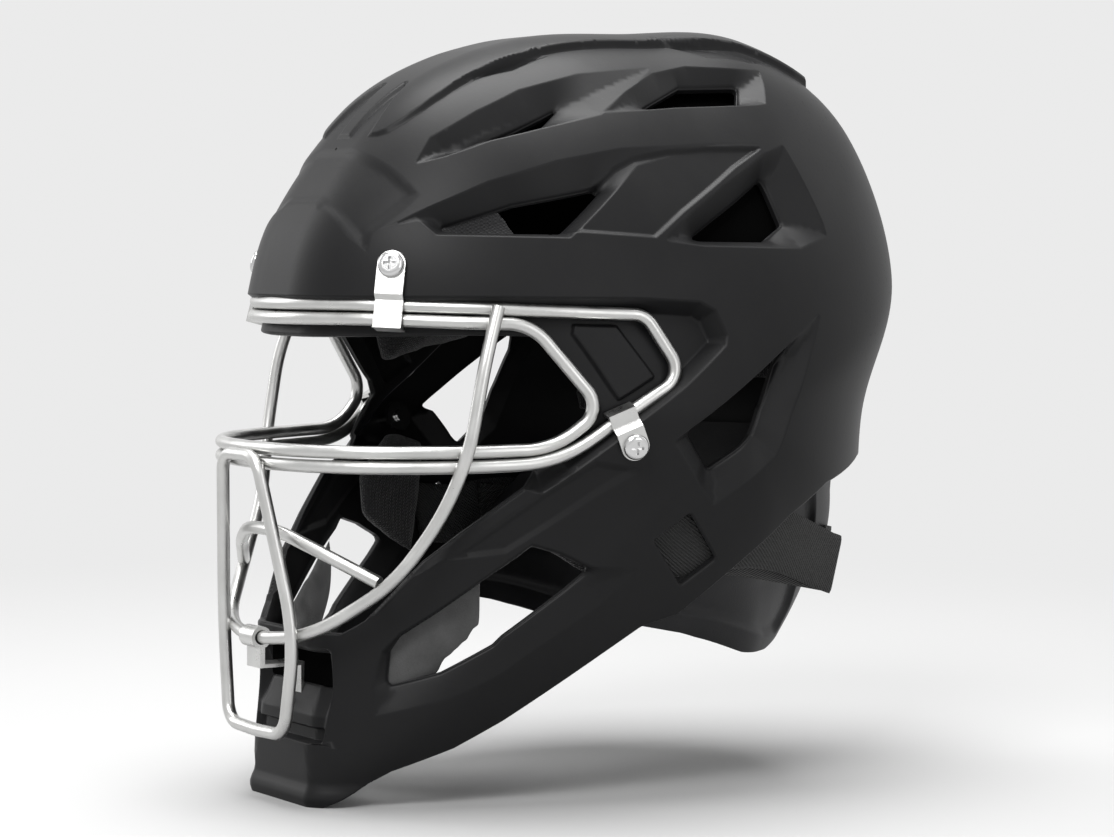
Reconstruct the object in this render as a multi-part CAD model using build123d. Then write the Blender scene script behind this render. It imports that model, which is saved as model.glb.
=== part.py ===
from build123d import *
import math
import os

os.makedirs("parts", exist_ok=True)

# Catcher's helmet with a wire face cage. Millimetres, +Z up, the face looks along -Y,
# and +X is the wearer's left. The origin is the middle of the head cavity.

# Driving sizes of the shell
HALF_WIDTH = 106.0        # mid-plane to the flattened side over the ear
HALF_LENGTH = 140.0       # unit of the side outline along Y
HALF_HEIGHT = 148.0       # unit of the side outline along Z
WALL = 3.5                # moulded shell wall
GROOVE = 2.0              # depth of the facets round the vents
LEDGE = 8.0               # how far the cage ledge is set in from the skin
CROWN_RISE = 3.2          # raised band along the crown
NOSE_FLAT = 11.0          # half width of the flat strip down the middle of the shell
CHIN_FLAT = 22.0          # half width of the flat chin front
OVERRUN = 60.0            # how far a cutter runs past what it cuts
FIT_GAP = 0.35            # gap between a soft or moving piece and its neighbour

# Cage
WIRE_RADIUS = 2.5
WIRE_BEND = 9.0           # centre line radius of a sharp bend
WIRE_SWEEP = 108.0        # largest centre line radius of a gentle bend
SHARP_TURN_DEG = 50.0     # a turn past this is a sharp bend
RUN_SHARE = 0.45          # how much of a run its bend may take

# Clips and screws
CLIP_WIDTH = 11.0
CLIP_THICK = 1.4
CLIP_GAP = 0.1            # gap between a clip and the wire or the head on it
SEAT_GAP = 0.45           # gap between a clip and the curved skin below it
CLIP_DROP = 0.6           # where a clip starts to step in, above the wire
SCREW_RADIUS = 2.4
SCREW_HOLE_GAP = 0.15
HEAD_RADIUS = 5.0
HEAD_HEIGHT = 2.4
HEAD_ROUND_SHARE = 0.8    # how much of the head's height its round edge takes
DRIVE_WIDTH = 1.2         # slot width of the cross drive
NUT_RADIUS = 6.5
NUT_HEIGHT = 1.8
NUT_SEAT_GAP = 0.8        # gap between a flat nut and the curved wall at its middle
SCREW_PROUD = 1.3         # thread that stands out of the nut
CHIN_FOOT_DROP = 14.0     # foot of the chin clip below the chin slot
CHIN_FOOT_GAP = 0.6       # gap between that foot and the chin wall
CHIN_CLIP_ROOM = 6.0      # depth left for the chin clip in front of the chin pad
CHIN_THREAD_SHARE = 0.7   # how much of the wall the chin screw goes into

# Soft pieces
PAD_THICK = 11.0
PAD_CROWN = 3.0           # how far a pad's face swells above its edge
CHIN_PAD_THICK = 8.0
PAD_SPLIT = 3.0           # half gap between the left and right pads at the middle

# Nape plate with its hinge
PLATE_INSET = 8.6         # plate skin below the shell skin
PLATE_WALL = 2.6
NAPE_PAD_THICK = 7.0
HINGE_RADIUS = 1.6
HINGE_GAP = 0.05
KNUCKLE_WALL = 2.0
KNUCKLE_LENGTH = 14.0
KNUCKLE_GAP = 0.2         # side gap between two knuckles

# Elastic webbing
STRAP_WIDTH = 25.0
STRAP_THICK = 1.6
STRAP_TILT_DEG = 6.0

EAR_SHARE = (0.157, 0.034)
# Side outline, anticlockwise from the back, as shares of the half length and half height
# measured from the ear point.
OUTLINE_SHARES = [
    (0.772, 0.000), (0.899, 0.397), (0.721, 0.813), (0.384, 0.997), (0.000, 1.000),
    (-0.374, 0.971), (-0.739, 0.833), (-1.002, 0.547), (-1.097, 0.278), (-1.143, 0.000),
    (-1.074, -0.370), (-1.059, -0.701), (-1.042, -1.021), (-0.704, -1.153), (-0.198, -1.065),
    (0.305, -0.790), (0.690, -0.457),
]
OUTLINE_STEPS = 24
STATION_SHARES = [0.0, 0.2, 0.4, 0.58, 0.73, 0.85, 0.93, 0.98]
SKULL_POWERS = (1.8, 1.85)
CHIN_POWERS = (1.2, 1.35)
CHIN_DIRECTION_DEG = 232.0
CHIN_BLEND_DEG = 62.0

# Openings in the side view, as shares of the half length and half height
RIM_SHARES = [
    (-1.6, -0.975), (-0.88, -0.970), (-0.735, -0.880), (-0.580, -0.824), (-0.454, -0.755),
    (-0.295, -0.651), (-0.094, -0.518), (0.014, -0.490), (0.187, -0.348), (0.336, -0.237),
    (0.479, -0.159), (0.72, -0.105), (1.6, -0.06), (1.6, -2.2), (-1.6, -2.2),
]
FACE_SHARES = [
    (-1.6, 0.262), (-0.592, 0.257), (-0.451, 0.252), (-0.300, 0.092), (-0.286, 0.047),
    (-0.426, -0.107), (-0.619, -0.263), (-0.698, -0.334), (-0.742, -0.390), (-0.811, -0.484),
    (-0.856, -0.520), (-1.6, -0.520),
]
LEDGE_SHARES = [
    (-1.6, 0.348), (-0.541, 0.348), (-0.176, 0.344), (0.007, 0.334), (0.054, 0.311),
    (0.081, 0.246), (0.074, 0.219), (-0.062, 0.113), (-0.213, 0.012), (-0.256, -0.027),
    (-0.352, -0.099), (-0.426, -0.155), (-0.60, -0.12), (-0.60, 0.15), (-1.6, 0.15),
]
JAW_SHARES = [
    (-0.765, -0.654), (-0.757, -0.566), (-0.736, -0.526), (-0.657, -0.466), (-0.549, -0.380),
    (-0.472, -0.324), (-0.440, -0.295), (-0.364, -0.318), (-0.277, -0.359), (-0.336, -0.409),
    (-0.498, -0.529), (-0.519, -0.552), (-0.645, -0.620),
]
EAR_VENT_SHARES = [
    (-0.047, 0.001), (0.255, 0.195), (0.296, 0.220), (0.256, 0.141), (0.180, -0.020),
    (0.050, -0.116),
]
EAR_GROOVE_SHARES = [
    (-0.091, -0.027), (-0.050, 0.003), (0.433, 0.309), (0.241, -0.072), (0.055, -0.199),
]
FRONT_VENT_SHARES = [
    (-0.652, 0.536), (-0.629, 0.516), (-0.364, 0.514), (-0.207, 0.637), (-0.215, 0.644),
    (-0.464, 0.597),
]
FRONT_GROOVE_SHARES = [
    (-0.776, 0.518), (-0.665, 0.574), (-0.513, 0.641), (-0.324, 0.695), (-0.129, 0.729),
    (0.210, 0.749), (0.428, 0.747), (0.249, 0.743), (0.102, 0.730), (-0.091, 0.689),
    (-0.340, 0.497), (-0.662, 0.504), (-0.691, 0.540),
]
TOP_VENT_SHARES = [(-0.589, 0.716), (-0.233, 0.863), (-0.331, 0.795), (-0.473, 0.757)]
TOP_GROOVE_SHARES = [
    (-0.662, 0.684), (-0.601, 0.757), (-0.473, 0.825), (-0.336, 0.883), (-0.141, 0.930),
    (0.120, 0.955), (-0.144, 0.818), (-0.316, 0.793), (-0.473, 0.757), (-0.589, 0.716),
]
CREST_VENT_SHARES = [(0.001, 0.850), (0.194, 0.926), (0.403, 0.933), (0.354, 0.874)]
CREST_GROOVE_SHARES = [
    (-0.146, 0.822), (-0.029, 0.883), (0.103, 0.936), (0.235, 0.960), (0.500, 0.955),
    (0.432, 0.859), (0.394, 0.855), (0.112, 0.842),
]
REAR_VENT_SHARES = [(0.350, 0.680), (0.386, 0.549), (0.285, 0.501), (0.029, 0.503)]
REAR_GROOVE_SHARES = [
    (0.424, 0.748), (0.338, 0.720), (0.160, 0.631), (0.029, 0.560), (-0.080, 0.489),
    (0.051, 0.476), (0.384, 0.469), (0.501, 0.503), (0.496, 0.536),
]
STRAP_SLOT_SHARES = [(-0.108, -0.284), (-0.008, -0.216), (0.094, -0.342), (0.000, -0.410)]
CROWN_BAND_SHARES = [
    (-0.56, 0.50), (-0.56, 0.92), (-0.4, 1.2), (0.5, 1.2), (0.80, 0.95), (0.60, 0.70),
]
CROWN_BAND_WIDTH_SHARE = 0.33
CHIN_SLOT_WIDTH_SHARE = 0.27
CHIN_SLOT_TOP_SHARE = -0.575
CHIN_SLOT_BASE_SHARE = -0.665

# Cage wires: right half points as shares of half width, half length and half height
OUTER_LOOP_SHARES = [
    (0.00, -0.928, 0.328), (0.20, -0.905, 0.328), (0.438, -0.808, 0.327), (0.678, -0.583, 0.318),
    (0.793, -0.380, 0.309), (0.885, -0.150, 0.300), (0.929, -0.045, 0.142),
    (0.899, -0.200, 0.055), (0.800, -0.385, -0.075), (0.716, -0.640, -0.082),
    (0.560, -0.860, -0.082), (0.300, -0.985, -0.082), (0.00, -1.012, -0.082),
]
INNER_LOOP_SHARES = [
    (0.00, -0.933, 0.291), (0.20, -0.910, 0.291), (0.441, -0.813, 0.291), (0.686, -0.590, 0.281),
    (0.760, -0.455, 0.279), (0.866, -0.278, 0.060), (0.790, -0.400, -0.040),
    (0.716, -0.636, -0.044), (0.560, -0.860, -0.044), (0.300, -0.985, -0.044),
    (0.00, -1.012, -0.044),
]
JAW_WIRE_SHARES = [
    (0.737, -0.548, 0.322), (0.767, -0.605, 0.180), (0.757, -0.650, -0.049),
    (0.670, -0.700, -0.216), (0.565, -0.800, -0.380), (0.320, -0.950, -0.521),
    (0.00, -1.005, -0.545),
]
CROSS_BAR_SHARES = [
    (0.517, -0.823, -0.377), (0.300, -0.915, -0.305), (0.130, -0.962, -0.262),
    (0.00, -0.965, -0.258),
]
CHIN_LOOP_SHARES = [
    (0.130, -1.038, -0.063), (0.275, -0.981, -0.520),
    (0.215, -0.990, -0.780), (0.00, -0.990, -0.786),
]

# Fixing points in the side view
BROW_SCREW_SHARE = (-0.766, 0.427)
BROW_FOOT_SHARE = (-0.789, 0.291)
SIDE_SCREW_SHARE = (-0.203, -0.032)
SIDE_FOOT_SHARE = (-0.235, 0.035)

# Soft pieces and nape plate in the side view
FOREHEAD_PAD_SHARES = [(-1.3, 0.378), (-0.60, 0.378), (-0.42, 0.48), (-0.52, 0.66), (-1.3, 0.66)]
FOREHEAD_PAD_WIDTH_SHARE = 0.70
CROWN_PAD_SHARES = [(-0.42, 0.60), (-0.42, 1.3), (0.62, 1.3), (0.62, 0.60)]
CROWN_PAD_WIDTH_SHARE = 0.36
TEMPLE_PAD_SHARES = [(-0.26, 0.13), (-0.33, 0.30), (-0.20, 0.46), (0.06, 0.46), (0.10, 0.20)]
BACK_PAD_SHARES = [(0.47, -0.04), (0.47, 0.46), (0.70, 0.60), (1.3, 0.60), (1.3, 0.10), (0.72, 0.06)]
CHEEK_PAD_SHARES = [(-0.40, -0.17), (-0.25, -0.04), (-0.10, -0.08), (-0.19, -0.42), (-0.40, -0.29)]
CHIN_PAD_SHARES = [(-1.3, -0.56), (-0.83, -0.54), (-0.50, -0.31), (-0.50, -0.50), (-0.80, -0.90),
                   (-1.3, -0.90)]
PLATE_TOP_SHARE = -0.045
PLATE_SHARES = [
    (-0.10, -0.50), (-0.06, -0.57), (0.09, -0.600), (0.40, -0.640), (0.62, -0.640),
    (0.74, -0.600), (1.4, -0.50), (1.4, PLATE_TOP_SHARE), (0.72, PLATE_TOP_SHARE),
    (0.62, -0.06), (0.30, -0.18), (0.06, -0.36),
]
NAPE_PAD_SHARES = [(0.46, -0.27), (0.46, -0.58), (0.70, -0.58), (1.3, -0.50), (1.3, -0.14)]
STRAP_SLOT_MIDDLE_SHARE = (0.0, -0.315)
STRAP_FRONT_SHARE = -0.118
STRAP_END_SHARE = 0.10
STRAP_BACK_SHARE = 0.245
HINGE_SHARE = -0.005


def outline_point(turn):
    """Point of the side outline at a turn from 0 to 1, as offsets from the ear point."""
    count = len(OUTLINE_SHARES)
    place = (turn % 1.0) * count
    index = int(place)
    t = place - index
    a, b, c, d = (OUTLINE_SHARES[(index + k) % count] for k in (-1, 0, 1, 2))
    values = []
    for i, unit in enumerate((HALF_LENGTH, HALF_HEIGHT)):
        bend = 2 * a[i] - 5 * b[i] + 4 * c[i] - d[i]
        wave = 3 * b[i] - a[i] - 3 * c[i] + d[i]
        share = b[i] + 0.5 * t * (c[i] - a[i] + t * (bend + t * wave))
        values.append(share * unit)
    return values


DENSE_OUTLINE = [outline_point(k / 720) for k in range(720)]
EAR_Y = EAR_SHARE[0] * HALF_LENGTH
EAR_Z = EAR_SHARE[1] * HALF_HEIGHT


def heading(dy, dz):
    """Direction of a side view offset in degrees, with both units taken as equal."""
    return math.degrees(math.atan2(dz / HALF_HEIGHT, dy / HALF_LENGTH)) % 360


OUTLINE_TABLE = sorted((heading(y, z), math.hypot(y, z)) for y, z in DENSE_OUTLINE)


def reach(angle):
    """Distance from the ear point to the side outline in a heading."""
    angle = angle % 360
    low, high = 0, len(OUTLINE_TABLE) - 1
    while high - low > 1:
        middle = (low + high) // 2
        if OUTLINE_TABLE[middle][0] <= angle:
            low = middle
        else:
            high = middle
    return OUTLINE_TABLE[low][1]


def profile(angle):
    """Powers and flat half width of the cross profile in a heading."""
    t = max(0.0, 1 - abs(angle % 360 - CHIN_DIRECTION_DEG) / CHIN_BLEND_DEG)
    t = t * t * (3 - 2 * t)
    p = SKULL_POWERS[0] + (CHIN_POWERS[0] - SKULL_POWERS[0]) * t
    q = SKULL_POWERS[1] + (CHIN_POWERS[1] - SKULL_POWERS[1]) * t
    return p, q, NOSE_FLAT + (CHIN_FLAT - NOSE_FLAT) * t


def skin_x(y, z, inset=0.0):
    """Half width of the skin at a place in the side view."""
    dy, dz = y - EAR_Y, z - EAR_Z
    angle = heading(dy, dz)
    p, q, flat = profile(angle)
    k = min(1.0, math.hypot(dy, dz) / (reach(angle) - inset))
    return flat + (HALF_WIDTH - inset - flat) * (1 - k ** p) ** (1 / q)


def skin_point(share, inset=0.0):
    y, z = share[0] * HALF_LENGTH, share[1] * HALF_HEIGHT
    return Vector(skin_x(y, z, inset), y, z)


def skin_normal(share):
    step = WALL
    y, z = share[0] * HALF_LENGTH, share[1] * HALF_HEIGHT
    slope_y = (skin_x(y + step, z) - skin_x(y - step, z)) / (2 * step)
    slope_z = (skin_x(y, z + step) - skin_x(y, z - step)) / (2 * step)
    return Vector(1, -slope_y, -slope_z).normalized()


def section(x, inset):
    points = []
    for k in range(OUTLINE_STEPS):
        dy, dz = outline_point(k / OUTLINE_STEPS)
        p, q, flat = profile(heading(dy, dz))
        u = max(0.0, (abs(x) - flat) / (HALF_WIDTH - inset - flat))
        grow = (1 - u ** q) ** (1 / p) * (1 - inset / math.hypot(dy, dz))
        points.append((x, EAR_Y + dy * grow, EAR_Z + dz * grow))
    return Face(Wire([Edge.make_spline([Vector(*v) for v in points], periodic=True)]))


def form(inset):
    """Closed head form, a given depth below the skin."""
    half = HALF_WIDTH - inset
    stations = [-s * half for s in reversed(STATION_SHARES[1:])] + [s * half for s in STATION_SHARES]
    return Solid.make_loft([section(x, inset).outer_wire() for x in stations])


def side_prism(shares, low, high):
    """Prism along X over an outline of the side view."""
    points = [(0.0, y * HALF_LENGTH, z * HALF_HEIGHT) for y, z in shares]
    face = Face(Wire.make_polygon([Vector(*v) for v in points], close=True))
    prism = extrude(face, amount=high - low, dir=(1, 0, 0))
    return prism.moved(Location((low, 0, 0)))


def both_sides(shares):
    return side_prism(shares, -HALF_WIDTH - OVERRUN, HALF_WIDTH + OVERRUN)


def skin_prism(shares):
    """Prism through the left skin, square to the mean of an outline drawn on it."""
    points = [skin_point(s) for s in shares]
    centre = sum(points, Vector(0, 0, 0)) / len(points)
    normal = Vector(0, 0, 0)
    for a, b in zip(points, points[1:] + points[:1]):
        normal += (a - centre).cross(b - centre)
    normal = normal.normalized()
    if normal.X < 0:
        normal = -normal
    flat = [p - normal * (p - centre).dot(normal) for p in points]
    face = Face(Wire.make_polygon(flat, close=True))
    return extrude(face, amount=OVERRUN / 2, dir=normal, both=True)


def mirrored(shape):
    return shape.mirror(Plane.YZ)


def one(shape):
    """The largest solid of a result, as one solid."""
    return max(shape.solids(), key=lambda s: s.volume)


def tube_path(points, closed):
    """Straight runs joined by tangent arcs, as large as the runs allow."""
    count = len(points)
    radii = []
    for i in range(count) if closed else range(1, count - 1):
        before = points[i] - points[i - 1]
        after = points[(i + 1) % count] - points[i]
        turn = math.radians(before.get_angle(after))
        limit = RUN_SHARE * min(before.length, after.length) / math.tan(turn / 2)
        radii.append(min(limit, WIRE_BEND if turn > math.radians(SHARP_TURN_DEG) else WIRE_SWEEP))
    return FilletPolyline(*points, radius=radii, close=closed)


def wire(shares, closed):
    """Round wire mirrored about the mid-plane, from its points on the left half."""
    left = [Vector(x * HALF_WIDTH, y * HALF_LENGTH, z * HALF_HEIGHT) for x, y, z in shares]
    right = [Vector(-p.X, p.Y, p.Z) for p in left if p.X > 0]
    path = tube_path(left + right[::-1], closed)
    start = Plane(origin=path @ 0, z_dir=path % 0)
    return one(sweep(start * Circle(WIRE_RADIUS), path=path))


def seat_plane(share, foot_share):
    """Plane on the skin at a screw: X runs towards the clip's foot, Y runs into the head."""
    origin = skin_point(share)
    normal = skin_normal(share)
    along = skin_point(foot_share) - origin
    along = (along - normal * along.dot(normal)).normalized()
    return Plane(origin=origin, x_dir=along, z_dir=along.cross(-normal))


def clip(share, foot_share, wires):
    """Bent strap from a screw over the wires, with a lip behind the last one."""
    plane = seat_plane(share, foot_share)
    near = plane * Box(OVERRUN, OVERRUN, WALL)
    local = [plane.to_local_coords((w & near).center()) for w in wires]
    high = min(p.Y for p in local) - WIRE_RADIUS - CLIP_GAP
    low = local[-1].Y + WIRE_RADIUS + CLIP_GAP
    end = local[-1].X + WIRE_RADIUS + CLIP_GAP
    step = local[0].X - WIRE_RADIUS - CLIP_DROP
    rest = local[0].X - WIRE_RADIUS / 2
    top = -SEAT_GAP
    outline = [
        (0.0, top), (step, top), (rest, high), (end, high), (end, low),
        (end + CLIP_THICK, low), (end + CLIP_THICK, high - CLIP_THICK),
        (rest, high - CLIP_THICK), (step, top - CLIP_THICK), (0.0, top - CLIP_THICK),
    ]
    strap = extrude(plane * make_face(Polyline(*outline, close=True)), amount=CLIP_WIDTH / 2, both=True)
    out = Plane(origin=plane.origin, z_dir=-plane.y_dir)
    disc = extrude(out.offset(SEAT_GAP) * Circle(CLIP_WIDTH / 2), amount=CLIP_THICK)
    return one(strap + disc - bore(out)), out


def bore(out):
    """Clearance hole for a screw, right through."""
    return extrude(out * Circle(SCREW_RADIUS + SCREW_HOLE_GAP), amount=OVERRUN / 2, both=True)


def screw(head_seat, grip):
    head = extrude(head_seat * Circle(HEAD_RADIUS), amount=HEAD_HEIGHT)
    rim = head.edges().sort_by(Axis(head_seat.origin, head_seat.z_dir))[-1]
    head = fillet(rim, HEAD_HEIGHT * HEAD_ROUND_SHARE)
    shank = extrude(head_seat * Circle(SCREW_RADIUS), amount=-grip)
    slot = Box(HEAD_RADIUS, DRIVE_WIDTH, HEAD_HEIGHT) + Box(DRIVE_WIDTH, HEAD_RADIUS, HEAD_HEIGHT)
    return one(head + shank - head_seat.offset(HEAD_HEIGHT) * slot)


def nut(out, depth):
    body = extrude(out.offset(-depth) * Circle(NUT_RADIUS), amount=-NUT_HEIGHT)
    return one(body - bore(out))


def save(shape, name):
    export_step(shape, "parts/" + name + ".step")


# Shell
skin = form(0.0)
band_half = CROWN_BAND_WIDTH_SHARE * HALF_WIDTH
band = form(-CROWN_RISE) & side_prism(CROWN_BAND_SHARES, -band_half, band_half)
outer = skin + band
left_grooves = [skin_prism(s) for s in (FRONT_GROOVE_SHARES, TOP_GROOVE_SHARES, CREST_GROOVE_SHARES,
                                        REAR_GROOVE_SHARES, EAR_GROOVE_SHARES)]
groove_floor = form(GROOVE)
for groove in left_grooves:
    cut = groove - groove_floor
    outer = outer - cut - mirrored(cut)
outer = outer - (both_sides(LEDGE_SHARES) - form(LEDGE))
ledge_face = Face(Wire.make_polygon(
    [Vector(0, y * HALF_LENGTH, z * HALF_HEIGHT) for y, z in LEDGE_SHARES], close=True))
ledge_wide = extrude(Plane.YZ * offset(Plane.YZ.to_local_coords(ledge_face), amount=WALL,
                                       kind=Kind.INTERSECTION), amount=HALF_WIDTH + OVERRUN, both=True)
inner = form(WALL) - (ledge_wide - form(LEDGE + WALL))
shell = outer - inner
for shares in (RIM_SHARES, FACE_SHARES, JAW_SHARES, EAR_VENT_SHARES, STRAP_SLOT_SHARES):
    shell = shell - both_sides(shares)
for shares in (FRONT_VENT_SHARES, TOP_VENT_SHARES, CREST_VENT_SHARES, REAR_VENT_SHARES):
    cut = skin_prism(shares)
    shell = shell - cut - mirrored(cut)
slot_half = CHIN_SLOT_WIDTH_SHARE * HALF_WIDTH
slot_height = (CHIN_SLOT_TOP_SHARE - CHIN_SLOT_BASE_SHARE) * HALF_HEIGHT
slot_middle = (CHIN_SLOT_TOP_SHARE + CHIN_SLOT_BASE_SHARE) / 2 * HALF_HEIGHT
shell = shell - Location((0, -HALF_LENGTH, slot_middle)) * Box(2 * slot_half, 2 * OVERRUN, slot_height)

# Cage
cage = {
    "cage_outer_loop": wire(OUTER_LOOP_SHARES, True),
    "cage_inner_loop": wire(INNER_LOOP_SHARES, True),
    "cage_jaw_wire": wire(JAW_WIRE_SHARES, False),
    "cage_cross_bar": wire(CROSS_BAR_SHARES, False),
    "cage_chin_loop": wire(CHIN_LOOP_SHARES, True),
}
for name, shape in cage.items():
    save(shape, name)

# Clips, screws and nuts that hold the cage
outer_loop = cage["cage_outer_loop"]
brow_clip, brow_out = clip(BROW_SCREW_SHARE, BROW_FOOT_SHARE, [outer_loop, cage["cage_inner_loop"]])
side_clip, side_out = clip(SIDE_SCREW_SHARE, SIDE_FOOT_SHARE, [outer_loop])
boss_depth = LEDGE + WALL
boss = extrude(side_out * Circle(NUT_RADIUS), amount=-boss_depth) & form(WALL / 2)
boss = boss - (both_sides(LEDGE_SHARES) - form(LEDGE))
shell = shell + boss + mirrored(boss)
fixings = (
    ("brow", brow_clip, brow_out, WALL + NUT_SEAT_GAP),
    ("side", side_clip, side_out, boss_depth + CLIP_GAP),
)
stack = SEAT_GAP + CLIP_THICK + CLIP_GAP
for name, strap, out, depth in fixings:
    bolt = screw(out.offset(stack), stack + depth + NUT_HEIGHT + SCREW_PROUD)
    hole = bore(out)
    shell = shell - hole - mirrored(hole)
    for piece, shape in (("clip", strap), ("screw", bolt), ("nut", nut(out, depth))):
        save(shape, name + "_" + piece + "_left")
        save(mirrored(shape), name + "_" + piece + "_right")

# Chin clip: a loop round the jaw wire whose tongue goes through the chin slot
middle_slab = Box(WALL, 2 * (HALF_LENGTH + OVERRUN), 2 * (HALF_HEIGHT + OVERRUN))
wire_middle = (cage["cage_jaw_wire"] & middle_slab).center()
wire_y, wire_z = wire_middle.Y, wire_middle.Z
eye = WIRE_RADIUS + FIT_GAP
tongue_z = slot_middle + CLIP_THICK
chin_y = EAR_Y - reach(heading(-HALF_LENGTH, slot_middle - EAR_Z)) * math.cos(
    math.atan2(EAR_Z - slot_middle, HALF_LENGTH))
inside_y = chin_y + WALL + CHIN_FOOT_GAP
foot_z = CHIN_SLOT_BASE_SHARE * HALF_HEIGHT - CHIN_FOOT_DROP
side_view = Plane(origin=(0, 0, 0), x_dir=(0, 1, 0), z_dir=(1, 0, 0))
loop = side_view * Location((wire_y, wire_z)) * (Circle(eye + CLIP_THICK) - Circle(eye))
tongue = side_view * make_face(Polyline(
    (wire_y - CLIP_THICK / 2, wire_z - eye - CLIP_THICK),
    (wire_y + CLIP_THICK, wire_z - eye - CLIP_THICK / 4), (wire_y + CLIP_THICK, tongue_z),
    (inside_y + CLIP_THICK, tongue_z), (inside_y + CLIP_THICK, foot_z), (inside_y, foot_z),
    (inside_y, tongue_z - CLIP_THICK), (wire_y - CLIP_THICK / 2, tongue_z - CLIP_THICK),
    close=True))
chin_clip = one(extrude(loop + tongue, amount=CLIP_WIDTH / 2, both=True))
chin_hole_z = (foot_z + CHIN_SLOT_BASE_SHARE * HALF_HEIGHT) / 2 - CLIP_THICK
chin_out = Plane(origin=(0, inside_y + CLIP_THICK, chin_hole_z), z_dir=(0, 1, 0))
chin_grip = CLIP_THICK + WALL * CHIN_THREAD_SHARE
chin_bore = extrude(chin_out * Circle(SCREW_RADIUS + SCREW_HOLE_GAP), amount=-chin_grip - CLIP_GAP)
chin_clip = one(chin_clip - chin_bore)
shell = shell - chin_bore
save(chin_clip, "chin_clip")
save(screw(chin_out.offset(CLIP_GAP), chin_grip), "chin_screw")
save(shell, "outer_shell")


def pad(shares, depth, thick, low, high):
    """Foam pad against the shell: a full layer and a smaller crowned one on top."""
    corners = [Vector(y * HALF_LENGTH, z * HALF_HEIGHT, 0) for y, z in shares]
    face = Face(Wire.make_polygon(corners, close=True))
    small = offset(face, amount=-PAD_CROWN, kind=Kind.INTERSECTION)
    layers = []
    for outline, trim in ((face, 0.0), (small, PAD_CROWN)):
        block = extrude(side_view * outline, amount=high - low - 2 * trim, dir=(1, 0, 0))
        block = block.moved(Location((low + trim, 0, 0)))
        layers.append(block)
    deep = form(depth)
    base = (deep & layers[0]) - form(depth + thick - PAD_CROWN)
    crown = (deep & layers[1]) - form(depth + thick)
    return one(base + crown)


def save_pair(shape, name):
    save(shape, name + "_left")
    save(mirrored(shape), name + "_right")


def pocket(out, depth):
    """Room for a nut and the screw's end in the foam behind it."""
    return extrude(out * Circle(NUT_RADIUS + FIT_GAP), amount=-depth - NUT_HEIGHT - SCREW_PROUD - FIT_GAP)


# Foam liner
liner = WALL + FIT_GAP
deep_liner = LEDGE + WALL + FIT_GAP
wide = FOREHEAD_PAD_WIDTH_SHARE * HALF_WIDTH
forehead = pad(FOREHEAD_PAD_SHARES, liner, PAD_THICK, -wide, wide)
brow_room = pocket(brow_out, WALL + NUT_SEAT_GAP)
save(one(forehead - brow_room - mirrored(brow_room)), "forehead_pad")
wide = CROWN_PAD_WIDTH_SHARE * HALF_WIDTH
save(pad(CROWN_PAD_SHARES, liner, PAD_THICK, -wide, wide), "crown_pad")
save_pair(pad(TEMPLE_PAD_SHARES, deep_liner, PAD_THICK, PAD_SPLIT, HALF_WIDTH), "temple_pad")
save_pair(pad(BACK_PAD_SHARES, liner, PAD_THICK, PAD_SPLIT, HALF_WIDTH), "back_pad")
cheek = pad(CHEEK_PAD_SHARES, deep_liner, PAD_THICK, PAD_SPLIT, HALF_WIDTH)
save_pair(one(cheek - pocket(side_out, boss_depth)), "cheek_pad")
chin = pad(CHIN_PAD_SHARES, liner + CHIN_CLIP_ROOM, CHIN_PAD_THICK, -HALF_WIDTH, HALF_WIDTH)
head_room = extrude(chin_out * Circle(HEAD_RADIUS + FIT_GAP), amount=CLIP_GAP + HEAD_HEIGHT + FIT_GAP)
save(one(chin - head_room), "chin_pad")

# Nape plate, its pad and hinge
plate = (form(PLATE_INSET) & both_sides(PLATE_SHARES)) - form(PLATE_INSET + PLATE_WALL)
nape = pad(NAPE_PAD_SHARES, PLATE_INSET + PLATE_WALL + FIT_GAP, NAPE_PAD_THICK, -HALF_WIDTH, HALF_WIDTH)
hinge_z = HINGE_SHARE * HALF_HEIGHT
knuckle_radius = HINGE_RADIUS + KNUCKLE_WALL
plate_top = PLATE_TOP_SHARE * HALF_HEIGHT
hinge_y = EAR_Y + reach(0) - PLATE_INSET - knuckle_radius + PLATE_WALL / 2


def across(shape, start, end):
    """A side view shape drawn out between two distances from the mid-plane."""
    block = extrude(side_view * shape, amount=end - start, dir=(1, 0, 0))
    return block.moved(Location((start, 0, 0)))


def hinge_ring(radius, start, end):
    return across(Location((hinge_y, hinge_z)) * Circle(radius), start, end)


half = KNUCKLE_LENGTH / 2
far = half + KNUCKLE_GAP + KNUCKLE_LENGTH
web_height = hinge_z - plate_top + PLATE_WALL
web = Location((hinge_y, hinge_z - web_height / 2)) * Rectangle(2 * knuckle_radius, web_height)
eye_bore = hinge_ring(HINGE_RADIUS + HINGE_GAP, -far, far)
lug = (across(web, -half, half) & form(PLATE_INSET - FIT_GAP)) + hinge_ring(knuckle_radius, -half, half)
plate = one(plate + lug - eye_bore)
seat = Location((hinge_y + knuckle_radius, hinge_z)) * Rectangle(2 * knuckle_radius, 2 * knuckle_radius)
arms = []
for start, end in ((half + KNUCKLE_GAP, far), (-far, -half - KNUCKLE_GAP)):
    arms.append(across(seat, start, end) + hinge_ring(knuckle_radius, start, end))
back_middle = (hinge_y + OVERRUN / 2, hinge_z + knuckle_radius + KNUCKLE_WALL)
back = Location(back_middle) * Rectangle(OVERRUN, 2 * KNUCKLE_WALL)
bracket = (arms[0] + arms[1] + across(back, -far, far)) & form(WALL + CLIP_GAP)
bracket = bracket - eye_bore - hinge_ring(knuckle_radius + FIT_GAP, -half - HINGE_GAP, half + HINGE_GAP)
save(one(bracket), "nape_bracket")
save(hinge_ring(HINGE_RADIUS, -far, far), "nape_pin")
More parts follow.
